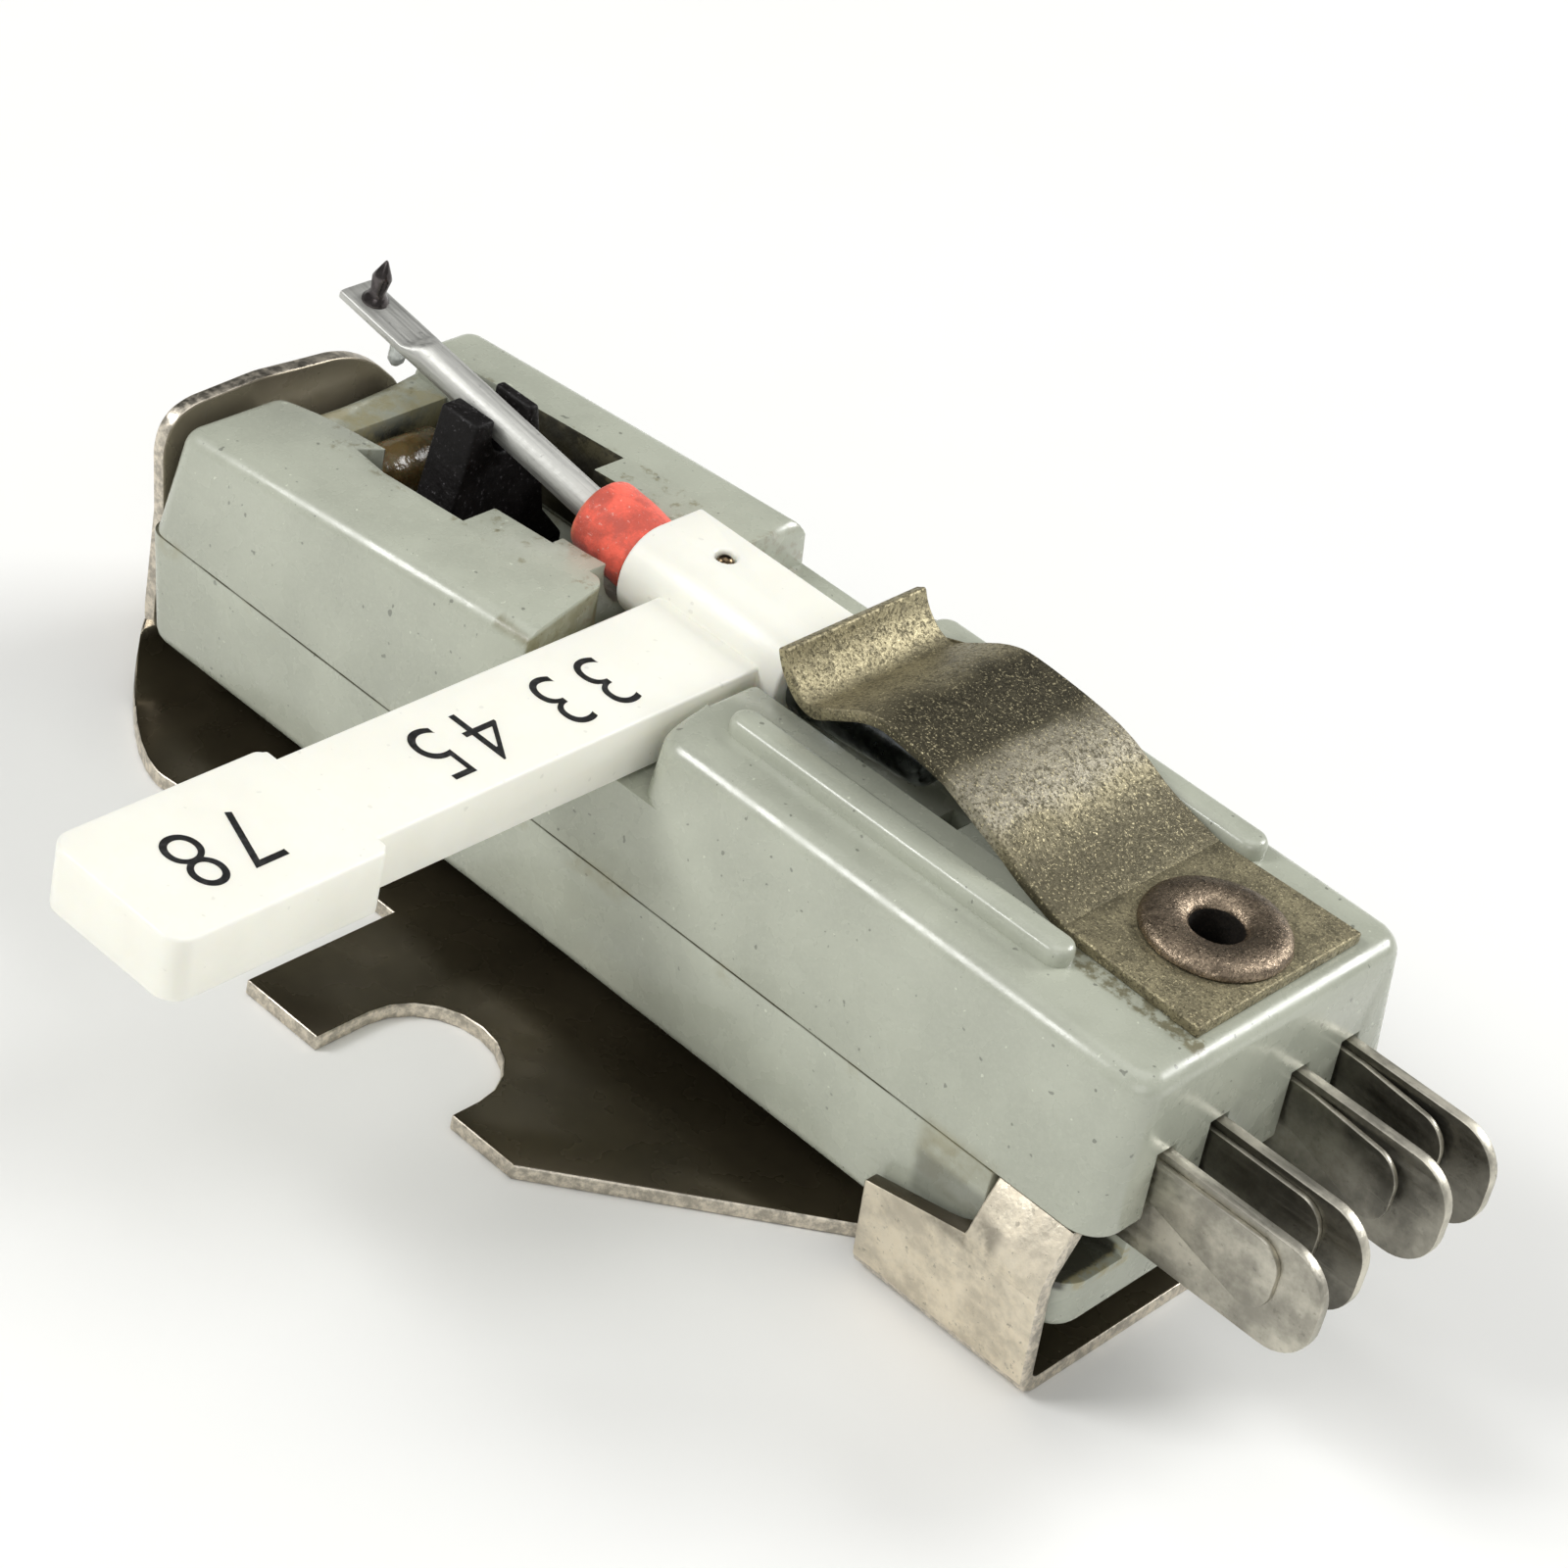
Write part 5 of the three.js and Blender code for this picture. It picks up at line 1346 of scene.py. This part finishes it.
class CARTRIDGE_OT_make_clip(bpy.types.Operator):
    """Make the spring clip and the eyelet that holds it"""

    bl_idname = "cartridge.make_clip"
    bl_label = "Clip and Eyelet"

    def execute(self, context):
        sizes = context.scene.cartridge_fittings
        self.make_leaf(sizes)
        self.make_eyelet(sizes)
        return {"FINISHED"}

    def make_leaf(self, sizes):
        metal = tuple(sizes.clip_colour)
        bands = [
            # Painted highlight: the lip lighter where it catches the light.
            (12.2, 0.3, 0.5, 0.5, shade(metal, 1.7)),
            # Painted reflection: a dark band across the crest, the dark room behind the part mirrored in
            # it.
            (14.9, 0.45, 0.7, 0.93, shade(metal, 0.13)),
            # A paler band across the arm.
            (16.3, 0.35, 0.5, 0.6, tuple(sizes.clip_pale_colour)),
            # Painted shade: darker where the arm folds down into the foot.
            (17.85, 0.4, 0.6, 0.75, shade(metal, 0.3)),
        ]
        bronze = mottled_bronze("clip_bronze", metal, 0.5, 0.72, bands)
        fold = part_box("clip_foot")[0].x
        near = 0.05 * MM

        def at_fold(centre):
            return abs(centre.x - fold) < near

        leaves = (("clip_foot", "riveted_foot", "body"), ("clip_arm", "spring_arm", "clip_arm"))
        for node, name, body in leaves:
            piece = copy_of_node(node, name)
            soften(piece, sizes.clip_round, 3, leave=at_fold)
            smooth(piece)
            finish_piece(piece, body, [node], "clip_bronze", bronze)

    def make_eyelet(self, sizes):
        low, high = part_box("clip_eyelet")
        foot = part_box("clip_foot")[1].z
        centre = (low + high) / 2
        flange = (high.x - low.x) / 2
        bore = 0.44 * MM
        base = 0.71 * MM
        barrel = 0.58 * MM
        base_top = low.z + 0.2 * MM
        lift = 0.03 * MM
        fullness = 0.8
        lump_size, lump_depth = 0.5 * MM, 0.03 * MM
        crown = high.z - foot - lift
        half = (flange - bore) / 2
        steps = 14
        profile = [(bore, low.z), (base, low.z), (base, base_top), (barrel, base_top), (barrel, foot)]
        for step in range(steps + 1):
            angle = math.pi * step / steps
            radius = bore + half + half * math.cos(angle)
            profile.append((radius, foot + lift + crown * math.sin(angle) ** fullness))
        points = [Vector((centre.x + out, centre.y, height)) for out, height in profile]
        eyelet = turned("rolled_eyelet", points, OBJECT_Z, centre, 56)
        roughen(eyelet, lump_size, lump_depth, (0.02, 0.01, 0.03))
        smooth(eyelet, math.radians(40))
        metal = tuple(sizes.eyelet_colour)
        finish_piece(eyelet, "body", ["clip_eyelet"], "eyelet_bronze",
                     mottled_bronze("eyelet_bronze", metal, 0.32, 0.97),
                     mottled_bronze("bore_shade", shade(metal, 0.06), 0.7, 0.5))
        # Painted shade: the bore below the clip's foot, nearly black.
        shade_top = foot + 0.1 * MM
        shade_edge = bore + 0.06 * MM

        def in_bore(place, normal):
            out = math.hypot(place.x - centre.x, place.y - centre.y)
            return place.z < shade_top and out < shade_edge

        paint_faces(eyelet, 1, in_bore)


class CARTRIDGE_OT_make_terminals(bpy.types.Operator):
    """Make the four terminal blades and their contact leaves"""

    bl_idname = "cartridge.make_terminals"
    bl_label = "Terminals"

    def execute(self, context):
        sizes = context.scene.cartridge_fittings
        base = tuple(sizes.terminal_colour)
        edge = dull_tin("tin_edge", shade(base, 1.35))
        # Lit and shaded copies of one tin, one for each blade: painted shade and reflection where the
        # blades darken each other, the first blade lighter.
        for number, tone in enumerate((1.15, 0.4, 0.7, 0.42), 1):
            tin = dull_tin(f"dull_tin_{number}", shade(base, tone))
            for node, name in (("terminal_blade", "blade"), ("contact_leaf", "leaf")):
                piece = copy_of_node(f"{node}_{number}", f"{name}_{number}")
                soften(piece, sizes.blade_round)
                smooth(piece)
                finish_piece(piece, "body", [f"{node}_{number}"], "tinned_brass", tin, edge)
                paint_faces(piece, 1, lambda centre, normal: abs(normal.y) < 0.5)
            paint_nodes(tin, f"element_lead_{number}")
        paint_nodes(element_ceramic(sizes), "piezo_element_left", "piezo_element_right")
        return {"FINISHED"}


# Each soft light's name, place and width in metres, and power in watts.
SOFT_LIGHTS = (
    ("left_softbox", (-0.165, -0.2, 0.23), 0.12, 0.55),
    ("back_softbox", (0.12, 0.29, 0.2), 0.14, 0.88),
    ("front_softbox", (0.22, -0.24, 0.2), 0.2, 0.23),
    ("top_softbox", (0, 0.04, 0.4), 0.28, 0.3),
)
HORIZON_LIGHT = (0.8, 0.8, 0.78, 1)
OVERHEAD_LIGHT = (1, 1, 0.97, 1)
FRONT_LIGHT = (0.95, 0.95, 0.92, 1)
# How bright the room behind the part is on the way from the horizon at 0 to straight up at 1.
DARK_STRETCH = ((0.22, 0.7), (0.4, 0.05), (0.72, 0.05), (0.86, 0.9))


class CARTRIDGE_OT_make_stage(bpy.types.Operator):
    """Make the floor, the lights and the camera"""

    bl_idname = "cartridge.make_stage"
    bl_label = "Stage"

    def execute(self, context):
        sizes = context.scene.cartridge_stage
        deselect_everything()
        bpy.ops.mesh.primitive_plane_add(size=sizes.floor_size, location=(0, 0, cad_bounds[0][2]))
        floor = bpy.context.object
        floor.name = "studio_floor"
        bpy.ops.object.transform_apply(location=True, rotation=True, scale=True)
        floor.data.materials.append(floor_paper(sizes))
        target = Vector(sizes.camera_target)
        for name, place, width, power in SOFT_LIGHTS:
            self.add_light(name, place, width, power, target)
        self.add_world(context, sizes)
        self.add_camera(context, sizes, target)
        context.scene.view_settings.view_transform = "Standard"
        return {"FINISHED"}

    def add_world(self, context, sizes):
        """A bright room with a dark stretch behind the part, which the bare metal reflects."""
        blue_share = 0.96
        fully_behind = 0.45
        world = bpy.data.worlds.new("studio_world")
        context.scene.world = world
        world.use_nodes = True
        tree = world.node_tree
        background = tree.nodes["Background"]
        direction = tree.nodes.new("ShaderNodeTexCoord").outputs["Generated"]
        height = tree.nodes.new("ShaderNodeSeparateXYZ")
        tree.links.new(direction, height.inputs["Vector"])
        ramp = tree.nodes.new("ShaderNodeValToRGB")
        ramp.color_ramp.elements[0].position = 0
        ramp.color_ramp.elements[0].color = HORIZON_LIGHT
        ramp.color_ramp.elements[1].position = 1
        ramp.color_ramp.elements[1].color = OVERHEAD_LIGHT
        for place, level in DARK_STRETCH:
            element = ramp.color_ramp.elements.new(place)
            element.color = (level, level, level * blue_share, 1)
        tree.links.new(height.outputs["Z"], ramp.inputs["Fac"])
        facing = tree.nodes.new("ShaderNodeVectorMath")
        facing.operation = "DOT_PRODUCT"
        azimuth = sizes.camera_azimuth
        facing.inputs[1].default_value = (-math.sin(azimuth), math.cos(azimuth), 0)
        tree.links.new(direction, facing.inputs[0])
        behind = tree.nodes.new("ShaderNodeMapRange")
        behind.inputs["From Min"].default_value = 0
        behind.inputs["From Max"].default_value = fully_behind
        tree.links.new(facing.outputs["Value"], behind.inputs["Value"])
        mix = tree.nodes.new("ShaderNodeMix")
        mix.data_type = "RGBA"
        mix.inputs[6].default_value = FRONT_LIGHT
        tree.links.new(behind.outputs["Result"], mix.inputs["Factor"])
        tree.links.new(ramp.outputs["Color"], mix.inputs[7])
        tree.links.new(mix.outputs[2], background.inputs["Color"])
        background.inputs["Strength"].default_value = sizes.world_strength

    def add_light(self, name, place, width, power, target):
        light = bpy.data.lights.new(name, "AREA")
        light.size = width
        light.energy = power
        obj = bpy.data.objects.new(name, light)
        bpy.context.scene.collection.objects.link(obj)
        turn = (target - Vector(place)).to_track_quat("-Z", "Y").to_matrix().to_4x4()
        obj.matrix_world = Matrix.Translation(place) @ turn

    def add_camera(self, context, sizes, target):
        azimuth, elevation = sizes.camera_azimuth, sizes.camera_elevation
        roll = sizes.camera_roll
        back = Vector((math.sin(azimuth) * math.cos(elevation), -math.cos(azimuth) * math.cos(elevation),
                       math.sin(elevation)))
        right = Vector((math.cos(azimuth), math.sin(azimuth), 0))
        up = back.cross(right)
        side = right * math.cos(roll) + up * math.sin(roll)
        top = up * math.cos(roll) - right * math.sin(roll)
        camera = bpy.data.cameras.new("photo_camera")
        camera.sensor_width = 36
        camera.lens = sizes.lens
        camera.clip_start = 1 * MM
        obj = bpy.data.objects.new("photo_camera", camera)
        context.scene.collection.objects.link(obj)
        turn = Matrix((side, top, back)).transposed().to_4x4()
        obj.matrix_world = Matrix.Translation(target + back * sizes.camera_distance) @ turn
        context.scene.camera = obj


class CARTRIDGE_PT_panel(bpy.types.Panel):
    """Lists the operators in the sidebar"""

    bl_idname = "CARTRIDGE_PT_panel"
    bl_label = "Turnover Cartridge"
    bl_space_type = "VIEW_3D"
    bl_region_type = "UI"
    bl_category = "Cartridge"

    def draw(self, context):
        for operator in OPERATORS:
            self.layout.operator(operator.bl_idname)


GROUPS = {
    "cartridge_case": CaseSizes,
    "cartridge_bracket": BracketSizes,
    "cartridge_lever": LeverSizes,
    "cartridge_stylus": StylusSizes,
    "cartridge_fittings": FittingSizes,
    "cartridge_stage": StageSizes,
}
OPERATORS = (
    CARTRIDGE_OT_make_stage,
    CARTRIDGE_OT_make_case,
    CARTRIDGE_OT_make_bracket,
    CARTRIDGE_OT_make_lever,
    CARTRIDGE_OT_make_axle,
    CARTRIDGE_OT_make_cantilever,
    CARTRIDGE_OT_make_styli,
    CARTRIDGE_OT_make_fork,
    CARTRIDGE_OT_make_clip,
    CARTRIDGE_OT_make_terminals,
)


def register():
    for group in GROUPS.values():
        bpy.utils.register_class(group)
    for operator in OPERATORS:
        bpy.utils.register_class(operator)
    bpy.utils.register_class(CARTRIDGE_PT_panel)
    for name, group in GROUPS.items():
        setattr(bpy.types.Scene, name, bpy.props.PointerProperty(type=group))


def unregister():
    for name in GROUPS:
        delattr(bpy.types.Scene, name)
    bpy.utils.unregister_class(CARTRIDGE_PT_panel)
    for operator in reversed(OPERATORS):
        bpy.utils.unregister_class(operator)
    for group in reversed(GROUPS.values()):
        bpy.utils.unregister_class(group)


def main():
    register()
    for operator in OPERATORS:
        getattr(bpy.ops.cartridge, operator.bl_idname.split(".")[1])()


if __name__ == "__main__":
    main()
